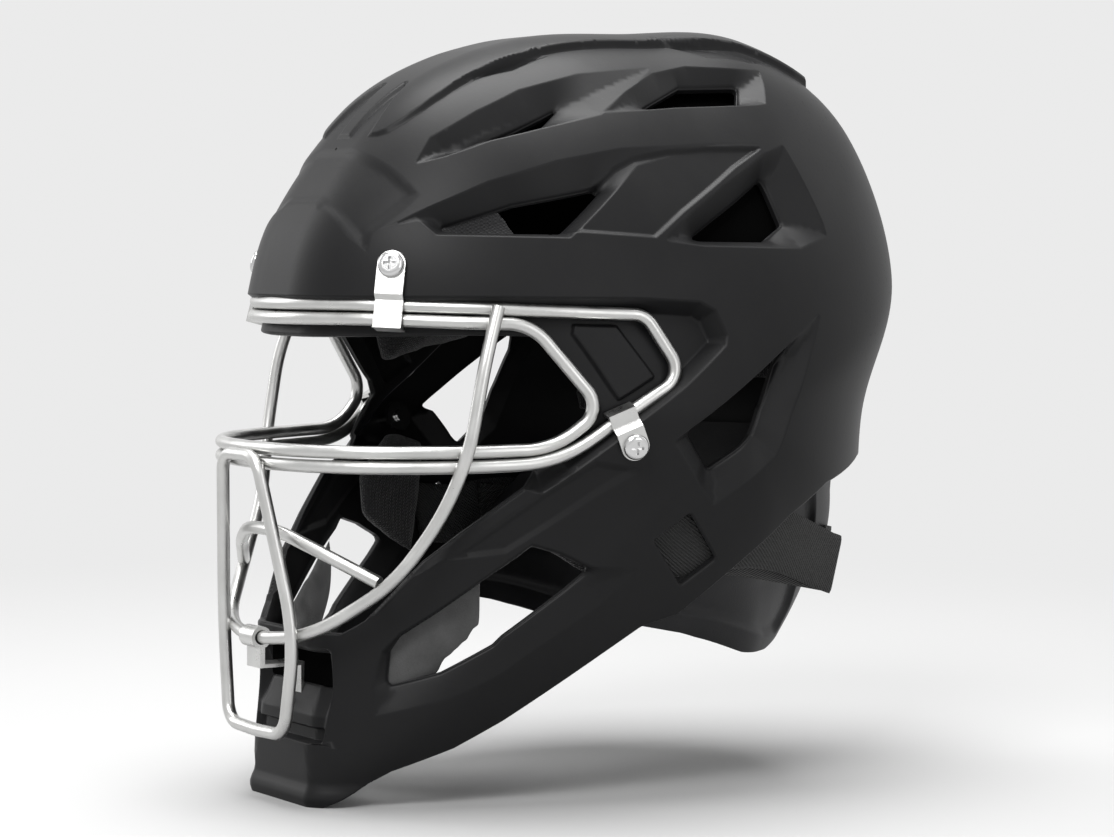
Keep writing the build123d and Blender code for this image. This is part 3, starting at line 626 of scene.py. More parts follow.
class Relief:
    """One facet or ledge of a skin: an outline and how deep it goes within it."""

    NEAR = 1.05

    def __init__(self, outline, depth, slope, hole=None, soft=False):
        self.outline = outline
        self.depth = depth
        self.slope = slope
        self.hole = hole
        self.soft = soft

    def deepen(self, points):
        """How deep the relief is at each point."""
        result = np.zeros(len(points))
        reach = np.abs(points - self.outline.mean(axis=0)).max(axis=1)
        size = np.abs(self.outline - self.outline.mean(axis=0)).max() * self.NEAR
        near = np.flatnonzero(reach < size)
        near = near[inside(points[near], self.outline)]
        if not len(near):
            return result
        here = points[near]
        edge = distance(here, self.outline)
        if self.hole is None:
            amount = np.minimum(abs(self.depth), edge * self.slope)
        else:
            to_hole = distance(here, self.hole)
            to_hole[inside(here, self.hole)] = 0
            whole = edge + to_hole + TINY
            amount = np.minimum(abs(self.depth) * edge / whole, edge * self.slope)
        if self.soft:
            amount = abs(self.depth) * smooth_step(amount, 0, abs(self.depth))
        result[near] = np.copysign(amount, self.depth)
        return result


class Skin:
    """A moulded skin on the head form: its half outline, holes and reliefs, and its meshes."""

    EDGE_RINGS = (0.0003, 0.0007, 0.0012)
    CREASE_RING = 0.0006
    PROBE = 0.00035
    STEP = 0.0018
    BORDER_POINTS = 1200
    FROM_LINES = 0.00025
    FROM_RINGS = 0.00027
    FROM_SEAM = 0.0003
    ON_SEAM = 8e-5
    FINE_SHARE = 0.55
    FINE_GAP = 0.3
    COARSE_GAP = 0.55
    MESH_SCALE = 1000.0
    MESH_SLACK = 1e-5

    def __init__(self, form, reliefs, holes, region=None, lines=(), extra=None, spacing=0.0038):
        self.form = form
        self.reliefs = reliefs
        self.holes = holes
        self.region = region
        self.edges = holes + ([] if region is None else [region])
        self.lines = lines
        self.extra = extra
        self.spacing = spacing

    def fold(self, points):
        """Places past the mid-plane folded back onto the half that is modelled."""
        angle = np.arctan2(points[:, 1], points[:, 0])
        length = np.hypot(points[:, 0], points[:, 1])
        total = self.form.total(angle)
        back = np.where(length > total, (2 * total - length) / np.maximum(length, TINY), 1.0)
        return points * back[:, None]

    def depth(self, points):
        """How deep the reliefs are at each point, and how far the rounded edges fall away there."""
        points = self.fold(points)
        result = np.zeros(len(points))
        for relief in self.reliefs:
            result += relief.deepen(points)
        if self.extra is not None:
            result = self.extra(self.form.place(points), result)
        edge = np.full(len(points), np.inf)
        for hole in self.edges:
            low, high = hole.min(axis=0) - RIM_ROUND, hole.max(axis=0) + RIM_ROUND
            near = np.flatnonzero(((points > low) & (points < high)).all(axis=1))
            edge[near] = np.minimum(edge[near], distance(points[near], hole))
        gap = np.clip(RIM_ROUND - edge, 0, RIM_ROUND)
        return result, RIM_ROUND - np.sqrt(RIM_ROUND ** 2 - gap ** 2)

    def frame(self, points):
        """Skin points, their normals and how they move along both axes of the flattened half."""
        step = self.PROBE
        u = self.form.place(points + (step, 0)) - self.form.place(points - (step, 0))
        v = self.form.place(points + (0, step)) - self.form.place(points - (0, step))
        u, v = u / (2 * step), v / (2 * step)
        normal = np.cross(u, v)
        normal /= np.linalg.norm(normal, axis=1)[:, None]
        outward = np.sign(np.sum(normal * (self.form.place(points) - (0, *self.form.ear)), axis=1))
        return self.form.place(points), normal * outward[:, None], u, v

    def mesh(self, thickness):
        """Vertices, faces and corner normals of both halves, closed round every edge."""
        angles = np.linspace(0, FULL_TURN, self.BORDER_POINTS, endpoint=False)
        border = self.form.at(angles, self.form.total(angles))
        chains = self.chains(border)
        fixed = np.concatenate([c[0] for c in chains])
        rings = self.kept(np.concatenate(self.rings()), fixed, self.FROM_LINES)
        points = np.concatenate([fixed, thin(rings, self.FROM_RINGS)])
        fine = hex_grid(border, self.spacing * self.FINE_SHARE)
        carved = np.zeros(len(fine), bool)
        for relief in self.reliefs:
            carved |= inside(fine, relief.outline)
        coarse = hex_grid(border, self.spacing)
        for grid, gap in ((fine[carved], self.FINE_GAP), (coarse, self.COARSE_GAP)):
            points = np.concatenate([points, self.kept(grid, points, self.spacing * gap)])
        edges = []
        start = 0
        for chain, closed in chains:
            count = len(chain)
            last = count if closed else count - 1
            edges += [(start + i, start + (i + 1) % count) for i in range(last)]
            start += count
        flat = [Vector(p * self.MESH_SCALE) for p in points]
        out, _, faces, _, _, _ = delaunay_2d_cdt(flat, edges, [], 0, self.MESH_SLACK, False)
        out = np.array([tuple(p) for p in out]) / self.MESH_SCALE
        faces = np.array(faces)
        used, faces = renumber(faces[self.within(out[faces].mean(axis=1))], len(out))
        return self.close(out[used], faces, thickness)

    def chains(self, border):
        """Runs of points that the mesh has an edge along, and whether each is closed."""
        chains = [(resample(h, self.STEP), True) for h in self.holes]
        chains += [(resample(r.outline, self.STEP), True) for r in self.reliefs]
        chains += [(resample(line, self.STEP, closed=False), False) for line in self.lines]
        if self.region is not None:
            chains.append((resample(self.region, self.STEP), True))
        return chains + [(border, True)]

    def rings(self):
        """Points close beside every edge, crease and foot of a slope."""
        rings = []
        for outline in self.edges:
            for offset in self.EDGE_RINGS:
                rings += ring_pair(outline, offset, self.STEP)
        offset = self.CREASE_RING
        for relief in self.reliefs:
            rings += ring_pair(relief.outline, offset, self.STEP)
            if relief.hole is None and not relief.soft:
                foot = abs(relief.depth) / relief.slope
                for shift in (foot - offset, foot + offset):
                    rings += ring_pair(relief.outline, shift, self.STEP)
        return rings

    def to_seam(self, points):
        """How far points are from the mid-plane, along the skin."""
        angle = np.arctan2(points[:, 1], points[:, 0])
        return self.form.total(angle) - np.hypot(points[:, 0], points[:, 1])

    def within(self, points):
        """Which points lie on the skin and not in a hole."""
        keep = self.to_seam(points) > -1e-6
        for hole in self.holes:
            keep &= ~inside(points, hole)
        if self.region is not None:
            keep &= inside(points, self.region)
        return keep

    def kept(self, points, others, gap):
        """The points on the skin that are further than a gap from all others."""
        points = points[self.within(points) & (self.to_seam(points) > self.FROM_SEAM)]
        tree = flat_tree(others)
        far = [tree.find((p[0], p[1], 0))[2] > gap for p in points]
        return points[np.array(far, bool)]

    def slopes(self, flat):
        """How the whole depth grows along both axes of the flattened half."""
        step = self.PROBE
        for shift in ((step, 0), (0, step)):
            yield (sum(self.depth(flat + shift)) - sum(self.depth(flat - shift))) / (2 * step)

    def close(self, flat, faces, thickness):
        """Lays a flat mesh on the form, mirrors it and walls every open edge."""
        seam = np.abs(self.to_seam(flat)) < self.ON_SEAM
        angle = np.arctan2(flat[seam, 1], flat[seam, 0])
        flat[seam] = self.form.at(angle, self.form.total(angle))
        place, normal, u, v = self.frame(flat)
        depth, fall = self.depth(flat)
        du, dv = self.slopes(flat)
        uu, uv, vv = (np.sum(a * b, axis=1) for a, b in ((u, u), (u, v), (v, v)))
        det = uu * vv - uv * uv
        slope = u * ((vv * du - uv * dv) / det)[:, None] + v * ((uu * dv - uv * du) / det)[:, None]
        shade = normal + slope
        shade /= np.linalg.norm(shade, axis=1)[:, None]
        outer = place - normal * (depth + fall)[:, None]
        inner = place - normal * (depth + thickness)[:, None]
        for part in (outer, inner, shade):
            part[seam, 0] = 0
        first, second, third = (outer[faces[:, i]] for i in range(3))
        turned = np.cross(second - first, third - first)
        flip = np.sum(turned * normal[faces[:, 0]], axis=1) < 0
        faces[flip] = faces[flip][:, ::-1]
        count = len(flat)
        other = np.arange(count) + count
        other[seam] = np.flatnonzero(seam)
        mirror = np.array([-1.0, 1.0, 1.0])
        used, faces = renumber(np.concatenate([faces, other[faces][:, ::-1]]), 2 * count)
        outer, inner, shade = (
            np.concatenate([part, part * mirror])[used] for part in (outer, inner, shade))
        shade /= np.linalg.norm(shade, axis=1)[:, None]
        half = np.concatenate([faces[:, [0, 1]], faces[:, [1, 2]], faces[:, [2, 0]]])
        keys = set(map(tuple, half))
        rim = [(a, b) for a, b in keys if (b, a) not in keys]
        count = len(outer)
        walls = np.array([(b, a, a + count, b + count) for a, b in rim])
        across = outer[walls[:, 0]] - outer[walls[:, 1]]
        down = inner[walls[:, 0]] - outer[walls[:, 0]]
        wall_normal = np.cross(down, across)
        wall_normal /= np.linalg.norm(wall_normal, axis=1)[:, None]
        verts = np.concatenate([outer, inner])
        polygons = [tuple(f) for part in (faces, faces[:, ::-1] + count, walls) for f in part]
        corners = np.repeat(wall_normal[:, None], 4, axis=1)
        normals = [part.reshape(-1, 3) for part in (shade[faces], -shade[faces[:, ::-1]], corners)]
        return verts, polygons, np.concatenate(normals)


def renumber(faces, count):
    """The vertices that faces use, out of a count, and the faces in their new numbers."""
    used = np.unique(faces)
    index = np.full(count, -1)
    index[used] = np.arange(len(used))
    return used, index[faces]


def hex_grid(border, spacing):
    """Evenly spaced points over the box of an outline."""
    low, high = border.min(axis=0), border.max(axis=0)
    result = []
    for i, y in enumerate(np.arange(low[1], high[1], spacing * math.sqrt(3) / 2)):
        x = np.arange(low[0] + (i % 2) * spacing / 2, high[0], spacing)
        result.append(np.stack([x, np.full(len(x), y)], axis=1))
    return np.concatenate(result)


def flat_tree(points):
    """Search tree of points in the plane."""
    tree = kdtree.KDTree(len(points))
    for i, p in enumerate(points):
        tree.insert((p[0], p[1], 0), i)
    tree.balance()
    return tree


def thin(points, gap):
    """Points with those left out that crowd another one."""
    tree = flat_tree(points)
    gone = np.zeros(len(points), bool)
    for i, p in enumerate(points):
        if gone[i]:
            continue
        for _, j, _ in tree.find_range((p[0], p[1], 0), gap):
            if j > i:
                gone[j] = True
    return points[~gone]


def shell_relief(place, depth):
    """Depth with the chin's shelf, undercut and flare, and with the crown's band tapered."""
    x, z = np.abs(place[:, 0]), place[:, 2]
    (top, start), (level, edge, foot) = CHIN_SLOT_HEIGHTS, CHIN_SHELF_HEIGHTS
    heights = [CHIN_LINE_HEIGHTS[-1], foot, edge - CHIN_UNDERCUT, edge]
    heights += [level, start, top, top + CHIN_BEVEL]
    far, flat, under = CHIN_SHELF_DEPTHS
    depths = [0.0, under, under, flat, flat, far, CHIN_BEVEL, 0.0]
    front = place[:, 1] < CHIN_FRONT_LIMIT
    side = np.interp(z, (foot, start), (CHIN_FOOT_HALF, CHIN_SLOT_HALF))
    near, far_side = CHIN_WALL_SHIFTS
    shelf = np.interp(z, heights, depths) * np.clip((side + far_side - x) / (far_side - near), 0, 1)
    below = -CHIN_FLARE_HEIGHT
    flare = -CHIN_FLARE * smooth_step(-z, below, below + CHIN_FLARE_RUN)
    fade = np.clip((CHIN_FLARE_END - place[:, 1]) / CHIN_FLARE_FADE, 0, 1)
    ear_y, ear_z = EAR_SHARE[0] * HALF_LENGTH, EAR_SHARE[1] * HALF_HEIGHT
    heading = np.degrees(np.arctan2(z - ear_z, place[:, 1] - ear_y))
    taper = np.interp(heading, CROWN_TAPER_HEADINGS, CROWN_TAPERS)
    depth = np.where((depth < 0) & (z > CROWN_LOWEST), depth * taper, depth)
    return depth + np.where(front, shelf, 0) + np.where(z < CHIN_FLARE_TOP, flare * fade, 0)


def new_object(name, mesh):
    """Object of a mesh, lamp or camera, placed in the scene."""
    piece = bpy.data.objects.new(name, mesh)
    bpy.context.scene.collection.objects.link(piece)
    return piece


def mesh_piece(name, verts, faces, normals=None):
    """Mesh object in the frame, with its own corner normals where they are given."""
    mesh = bpy.data.meshes.new(name)
    mesh.from_pydata([tuple(v) for v in verts], [], faces)
    mesh.polygons.foreach_set("use_smooth", [True] * len(mesh.polygons))
    mesh.update()
    if normals is not None:
        mesh.normals_split_custom_set([tuple(n) for n in normals])
    return new_object(name, mesh)


def joined_piece(name, parts):
    """One mesh object of several sets of vertices and faces."""
    verts, faces = [], []
    for part_verts, part_faces in parts:
        faces += [tuple(len(verts) + i for i in face) for face in part_faces]
        verts += list(part_verts)
    return mesh_piece(name, verts, faces)


def finish_piece(piece, body, material, nodes=()):
    """Gives a piece its body, its finish and the nodes that it stands for."""
    if body is not None:
        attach(piece, body)
    if nodes:
        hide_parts(*nodes)
    piece.data.materials.clear()
    piece.data.materials.append(material)


def beside(places):
    """The places of crease lines with a line close on each side, which keeps each crease crisp."""
    spread = {value + shift for value in places for shift in (-BESIDE_LINE, BESIDE_LINE)}
    least = BESIDE_CLEAR * BESIDE_LINE
    clear = [value for value in spread if min(abs(value - place) for place in places) > least]
    return sorted([*places, *clear])


@lru_cache(maxsize=1)
def shell_skin():
    """The moulded shell's skin, with every vent, groove, ledge and lip of the photograph."""
    form = HeadForm()

    def laid(shares, radius):
        return soften(simplify(form.trace(shares)), radius)

    holes = {name: laid(shares, radius) for name, (shares, radius) in OPENINGS.items()}
    half, (top, low) = CHIN_SLOT_HALF, CHIN_SLOT_HEIGHTS
    side = half + CHIN_WALL_SHIFTS[0]
    holes["chin slot"] = form.trace_front(
        [(side, top), (side, low), (HOLE_BEYOND, low), (HOLE_BEYOND, top)])
    reliefs = [
        Relief(laid(shares, radius), depth, slope, holes.get(name), soft)
        for shares, depth, slope, name, radius, soft in FACETS]
    reliefs += [
        Relief(form.trace_places(places), depth, slope) for places, depth, slope in CROWN_FACETS]
    return Skin(form, reliefs, list(holes.values()), lines=chin_lines(form), extra=shell_relief)


def chin_lines(form):
    """Lines of the front that the chin's shelf, its side walls and its flared edge need."""
    lines = []
    half, (top, low), foot = CHIN_SLOT_HALF, CHIN_SLOT_HEIGHTS, CHIN_SHELF_HEIGHTS[-1]
    for z in beside(CHIN_LINE_HEIGHTS):
        side = np.interp(z, (foot, low), (CHIN_FOOT_HALF, half))
        reach = side + CHIN_WALL_SHIFTS[1] + BESIDE_LINE
        lines.append([(float(reach), z), (LINE_BEYOND, z)])
    lines += [[(CHIN_FLARE_HALF, z), (LINE_BEYOND, z)] for z in CHIN_FLARE_LINES]
    for shift in beside(CHIN_WALL_SHIFTS):
        upper, lower = half + shift, CHIN_FOOT_HALF + shift
        heights = (top + CHIN_BEVEL, low, foot, CHIN_LINE_HEIGHTS[-1])
        lines.append(list(zip((upper, upper, lower, lower), heights)))
    return [form.trace_front(line, closed=False) for line in lines]


# The pads: how they lie under the shell and how they are filled
PAD_UNDER_WALL = 0.0035
PAD_CLEARANCE = 0.0006
PAD_NEAR_SKIN = 0.008
PAD_MOST_SUNK = 0.0095
PAD_LEAST_SHARE = 0.35
PAD_VOXEL = 0.003
PAD_SHRINK = 0.0010
PAD_FILL = 0.0028
PAD_PRESSURE = 4.0
PAD_FRAMES = 20
PAD_SMOOTHINGS = 5

# The webbing, the nape plate, and the black sheets of painted shadow behind the vents and the
# chin's slot
STRAP_WIDTH = 0.025
STRAP_THICK = 0.0016
STRAP_TILT_DEG = 6.0
STRAP_MIDDLE_Z = -0.04662
PLATE_INSET = 0.0086
PLATE_WALL = 0.0018
PLATE_PANEL_DEPTH = 0.0025
PLATE_PANEL_SLOPE = 1.2
PLATE_EDGE_RADIUS = 0.008
PLATE_PANEL_RADIUS = 0.006
PLATE_EDGE_SHARES = [
    (-0.10, -0.49), (-0.07, -0.522), (0.08, -0.552), (0.138, -0.566), (0.30, -0.590),
    (0.43, -0.590), (0.58, -0.566), (0.74, -0.532), (1.4, -0.45), (1.4, -0.045),
    (0.72, -0.045), (0.62, -0.06), (0.30, -0.18), (0.06, -0.36),
]
PLATE_PANEL_SHARES = [
    (-0.30, -0.494), (0.05, -0.494), (0.218, -0.522), (0.40, -0.556), (0.50, -0.560),
    (0.555, -0.505), (0.580, -0.400), (0.570, -0.300), (0.545, -0.180), (0.520, 0.050),
    (-0.30, 0.050),
]
PLATE_FLARE_HEIGHTS = (-0.096, -0.090, -0.080, -0.065, -0.050, -0.030, -0.012)
PLATE_FLARES = (0.0125, 0.0110, 0.0070, 0.0012, 0.0, -0.0025, -0.0025)
PLATE_FLARE_START = (0.012, 0.052)
# Black sheets behind the crown's vents and the chin's slot: painted shadow, a dead black that
# stands for the shade inside the helmet and hides the view through the vents
CROWN_SHADOW_SHEET_INSET = 0.0135
CROWN_SHADOW_SHEET_SHARES = [(-0.10, 0.46), (1.5, 0.46), (1.5, 1.5), (-0.10, 1.5)]
CHIN_SHADOW_SHEET_INSET = 0.0075
CHIN_SHADOW_SHEET_CORNERS = [(0.0310, -0.0810), (0.0310, -0.0985), (-0.02, -0.0985), (-0.02, -0.0810)]
SHADOW_SHEET_WALL = 0.0008
SHADOW_SHEET_RADIUS = 0.002
SHADOW_SHEET_SPACING = 0.006
# Colour of the painted shadow sheets: near black, for the shade inside the helmet
SHADOW_SHEET_COLOR = (0.0025, 0.0025, 0.0025)
BLACKENED_COLOR = (0.04, 0.04, 0.04)
HINGE_PLACE = (0.11916, -0.00074)
KNUCKLE_RADII = (0.00165, 0.0036)
KNUCKLE_HALF = 0.0070
KNUCKLE_STEP_DEG = 10
KNUCKLE_WEB = (-0.0036, 0.0022, -0.0095)

# The webbing loops: their fold, and how far the webbing stands off the head form
FOLD_TOP = (0.0772, 0.0860, -0.0463)
FOLD_LOW = (0.0700, 0.0856, -0.0702)
FOLD_RADIUS = 0.0013
UPPER_OFF = -0.0046
UNDER_OFF = -0.0073
BACK_OFF = -0.0074
UPPER_SLIP = 0.0052
UPPER_SLIP_RUN = (-106, -80)
UNDER_SLIP = 0.0006
BACK_SLIP = -0.002
UPPER_HEADINGS = (112, 80, 26)
UNDER_HEADINGS = (80, 92, 10)
BACK_HEADINGS = (46, -46, 96)
FREE_ROWS = 26
FOLD_ROWS = 11
ROUNDED_COLUMNS = 2.0
EDGE_THINNED = 0.82
STRAP_AXIS_Y = 0.02
SLOPE_PROBE = 1e-4
STRAP_COLUMNS = 17


class Shading:
    """Nodes of one material or node group, added and wired in a few words."""

    def __init__(self, tree):
        self.tree = tree

    def add(self, kind, **settings):
        node = self.tree.nodes.new(kind)
        for key, value in settings.items():
            setattr(node, key, value)
        return node

    def wire(self, source, target):
        self.tree.links.new(source, target)

    def feed(self, node, values):
        """Sets or wires a node's inputs by name or place."""
        for key, value in values.items():
            socket = node.inputs[key]
            if isinstance(value, bpy.types.NodeSocket):
                self.wire(value, socket)
            else:
                socket.default_value = value
        return node

    def math(self, operation, a, b=0.0, c=0.0, clamp=False):
        node = self.add("ShaderNodeMath", operation=operation, use_clamp=clamp)
        return self.feed(node, {0: a, 1: b, 2: c}).outputs[0]

    def noise(self, vector, scale, detail=2.0, roughness=0.5):
        values = {"Vector": vector, "Scale": scale, "Detail": detail, "Roughness": roughness}
        return self.feed(self.add("ShaderNodeTexNoise"), values).outputs[0]

    def remap(self, value, low, high, to_low=0.0, to_high=1.0):
        values = {
            "Value": value, "From Min": low, "From Max": high, "To Min": to_low, "To Max": to_high}
        return self.feed(self.add("ShaderNodeMapRange", clamp=True), values).outputs[0]

    def blend(self, factor, a, b):
        node = self.add("ShaderNodeMix", data_type="RGBA")
        return self.feed(node, {0: factor, 6: a, 7: b}).outputs[2]

    def tint(self, color, shade):
        """A colour multiplied by a shade that changes over the surface."""
        node = self.add("ShaderNodeMix", data_type="RGBA", blend_type="MULTIPLY")
        return self.feed(node, {0: 1.0, 6: (*color, 1), 7: shade}).outputs[2]

    def place(self, kind="Object"):
        """The place of each point, in the object's own axes or in its UV map."""
        return self.add("ShaderNodeTexCoord").outputs[kind]

    def axes(self, vector):
        """The three numbers of a vector."""
        return self.feed(self.add("ShaderNodeSeparateXYZ"), {0: vector}).outputs

    def group(self, name, **values):
        node = self.add("ShaderNodeGroup")
        node.node_tree = bpy.data.node_groups[name]
        return self.feed(node, {key.title(): value for key, value in values.items()}).outputs

    def dusted(self, shader, amount, color, dust_color):
        """Lays dust over a colour, feeds the base colour and gives the dust's mask."""
        dust = self.group("Settled dust", amount=amount)["Mask"]
        self.wire(self.blend(dust, color, (*dust_color, 1)), shader.inputs["Base Color"])
        return dust


def new_group(name, inputs, outputs):
    """Empty node group with named inputs and outputs."""
    tree = bpy.data.node_groups.new(name, "ShaderNodeTree")
    for label, kind, value in inputs:
        socket = tree.interface.new_socket(label, in_out="INPUT", socket_type=kind)
        socket.default_value = value
    for label, kind in outputs:
        tree.interface.new_socket(label, in_out="OUTPUT", socket_type=kind)
    shading = Shading(tree)
    return shading, shading.add("NodeGroupInput"), shading.add("NodeGroupOutput")


FLOAT = "NodeSocketFloat"
VECTOR = "NodeSocketVector"
# Outputs of the weave groups: a height for the bump, and a colour factor of painted shade and
# highlight
HEIGHT_AND_PAINTED_SHADING = [("Height", FLOAT), ("Painted shading", FLOAT)]


def make_orange_peel():
    """The faint waviness of a moulded and coated skin."""
    s, start, end = new_group(
        "Orange peel", [("Scale", FLOAT, 900.0), ("Waviness", FLOAT, 0.5)], [("Height", FLOAT)])
    place = s.place()
    fine = s.noise(place, start.outputs["Scale"], 2.0)
    broad = s.noise(place, 38.0, 1.0)
    s.wire(s.math("MULTIPLY_ADD", broad, start.outputs["Waviness"], fine), end.inputs["Height"])


SCRATCH_TURNS = ((0.3, 0.9, 0.2), (1.4, 0.2, 0.9), (0.6, 2.1, 1.3))
SCRATCH_STRETCH = (1.0, 22.0, 22.0)


def make_scratches():
    """Sparse hairline scratches in three directions, as a mask."""
    s, start, end = new_group(
        "Hairline scratches", [("Scale", FLOAT, 40.0), ("Amount", FLOAT, 0.5)], [("Mask", FLOAT)])
    place = s.place()
    total = None
    for turn in SCRATCH_TURNS:
        values = {"Vector": place, "Rotation": turn, "Scale": SCRATCH_STRETCH}
        mapping = s.feed(s.add("ShaderNodeMapping"), values)
        lines = s.noise(mapping.outputs[0], start.outputs["Scale"], 1.0)
        mask = s.remap(lines, 0.70, 0.76)
        total = mask if total is None else s.math("MAXIMUM", total, mask)
    patches = s.remap(s.noise(place, 14.0, 2.0), 0.45, 0.62)
    mask = s.math("MULTIPLY", s.math("MULTIPLY", total, patches), start.outputs["Amount"])
    s.wire(mask, end.inputs["Mask"])


def make_dust():
    """Fine dust that lies on what faces up, and in specks anywhere."""
    s, start, end = new_group("Settled dust", [("Amount", FLOAT, 0.3)], [("Mask", FLOAT)])
    normal = s.add("ShaderNodeNewGeometry").outputs["Normal"]
    up = s.remap(s.axes(normal)["Z"], 0.1, 1.0, 0.15, 1.0)
    place = s.place()
    cloud = s.remap(s.noise(place, 30.0, 6.0, 0.65), 0.42, 0.75)
    specks = s.remap(s.noise(place, 1500.0, 1.0), 0.70, 0.80)
    spread = s.math("MULTIPLY_ADD", specks, 0.7, s.math("MULTIPLY", cloud, 0.35))
    mask = s.math("MULTIPLY", s.math("MULTIPLY", spread, up), start.outputs["Amount"], clamp=True)
    s.wire(mask, end.inputs["Mask"])


def make_knit():
    """Warp-knit cover cloth: rows of small loops on all three axes, with painted shading that makes
    the hollows between the loops darker and their tops lighter.
    """
    s, start, end = new_group(
        "Knit cover", [("Pitch", FLOAT, 0.0012), ("Vector", VECTOR, (0, 0, 0))], HEIGHT_AND_PAINTED_SHADING)
    turn = s.math("DIVIDE", FULL_TURN, start.outputs["Pitch"])
    split = s.axes(start.outputs["Vector"])
    x, y, z = (s.math("SINE", s.math("MULTIPLY", split[axis], turn)) for axis in range(3))
    pair = s.math("ADD", s.math("MULTIPLY", x, z), s.math("MULTIPLY", y, z))
    height = s.math("ADD", pair, s.math("MULTIPLY", x, y))
    uneven = s.noise(start.outputs["Vector"], 260.0, 3.0)
    s.wire(s.math("MULTIPLY_ADD", uneven, 0.8, height), end.inputs["Height"])
    # Painted shade and highlight: the colour factor follows the loops' height, darker in the
    # hollows and lighter on top
    s.wire(s.remap(height, -1.0, 1.0, 0.75, 1.2), end.inputs["Painted shading"])


def make_twill():
    """Elastic webbing: ribs crossed by a diagonal twill, from its UV map in metres, with painted
    shading that darkens the hollows and paints the ridges as light lines.
    """
    s, start, end = new_group(
        "Twill webbing", [("Rib", FLOAT, 0.0016), ("Twill", FLOAT, 0.0022)], HEIGHT_AND_PAINTED_SHADING)

    def wave(run, pitch):
        turn = s.math("DIVIDE", FULL_TURN, start.outputs[pitch])
        return s.math("SINE", s.math("MULTIPLY", run, turn))

    along, across, _ = s.axes(s.place("UV"))
    slant = s.math("MULTIPLY_ADD", along, 0.55, s.math("MULTIPLY", across, 0.83))
    twill = s.math("MULTIPLY", wave(slant, "Twill"), 0.8)
    woven = s.math("MULTIPLY_ADD", wave(across, "Rib"), 0.12, twill)
    height = s.math("MULTIPLY_ADD", s.noise(s.place(), 900.0, 2.0), 0.5, woven)
    s.wire(height, end.inputs["Height"])
    # Painted shade and highlight: the colour factor follows the weave's height, dark in the hollows
    # and well above one on the ridges
    s.wire(s.remap(height, -0.7, 1.1, 0.35, 1.7), end.inputs["Painted shading"])


def make_groups():
    """Builds each shared effect once."""
    for make in (make_orange_peel, make_scratches, make_dust, make_knit, make_twill):
        make()


def new_material(name, color, roughness, **constants):
    """Material with its own Principled shader, and the constants set on the shader itself."""
    material = bpy.data.materials.new(name)
    material.use_nodes = True
    shader = material.node_tree.nodes["Principled BSDF"]
    shader.inputs["Base Color"].default_value = (*color, 1)
    shader.inputs["Roughness"].default_value = roughness
    for key, value in constants.items():
        shader.inputs[key.replace("_", " ")].default_value = value
    return material, Shading(material.node_tree), shader


def bump(s, shader, height, strength, rise):
    """Feeds a shader's normal from a height."""
    values = {"Height": height, "Strength": strength, "Distance": rise}
    s.wire(s.feed(s.add("ShaderNodeBump"), values).outputs[0], shader.inputs["Normal"])


MOULD_DUST = (0.20, 0.20, 0.195)
CLOTH_DUST = (0.22, 0.22, 0.21)
WEBBING_DUST = (0.25, 0.25, 0.24)
METAL_SHADE = 0.72
NAP_LIGHT = 1.7


def shell_material(color, roughness):
    """Satin black moulding with faint orange peel, a little dust and hairline marks."""
    material, s, shader = new_material(
        "Satin moulded shell", color, roughness, Specular_IOR_Level=0.14)
    dust = s.dusted(shader, 0.10, (*color, 1), MOULD_DUST)
    marks = s.group("Hairline scratches", scale=34.0, amount=0.5)["Mask"]
    cloud = s.noise(s.place(), 9.0, 3.0)
    patches = s.remap(cloud, 0.35, 0.7, roughness - 0.03, roughness + 0.04)
    rough = s.math("MULTIPLY_ADD", marks, 0.18, patches)
    s.wire(s.math("MULTIPLY_ADD", dust, 0.5, rough), shader.inputs["Roughness"])
    peel = s.group("Orange peel", scale=700.0, waviness=0.6)["Height"]
    bump(s, shader, s.math("MULTIPLY_ADD", marks, -0.8, peel), 0.10, 0.0002)
    return material


def plate_material(name, color, dusty, specular):
    """Matte black moulding with a fine grain."""
    material, s, shader = new_material(name, color, 0.5, Specular_IOR_Level=specular)
    s.dusted(shader, dusty, (*color, 1), MOULD_DUST)
    place = s.place()
    rough = s.remap(s.noise(place, 20.0, 3.0), 0.3, 0.7, 0.42, 0.56)
    s.wire(rough, shader.inputs["Roughness"])
    bump(s, shader, s.noise(place, 1600.0, 2.0), 0.35, 0.0002)
    return material


def metal_material(name, color, roughness, grain_scale, grain_strength, wear):
    """Bright metal, darker in its scratches and where dust lies."""
    material, s, shader = new_material(name, color, roughness, Metallic=1.0)
    place = s.place()
    marks = s.group("Hairline scratches", scale=90.0, amount=wear)["Mask"]
    dust = s.group("Settled dust", amount=0.15)["Mask"]
    cloud = s.remap(s.noise(place, 55.0, 4.0), 0.3, 0.7, 0.90, 1.04)
    dark = (*(value * METAL_SHADE for value in color), 1)
    dull = s.math("MULTIPLY_ADD", marks, 0.6, dust)
    s.wire(s.blend(dull, s.tint(color, cloud), dark), shader.inputs["Base Color"])
    rough = s.remap(s.noise(place, 120.0, 3.0), 0.3, 0.7, roughness * 0.8, roughness * 1.25)
    s.wire(s.math("MULTIPLY_ADD", marks, 0.15, rough), shader.inputs["Roughness"])
    bump(s, shader, s.noise(place, grain_scale, 2.0), grain_strength, 0.0001)
    return material


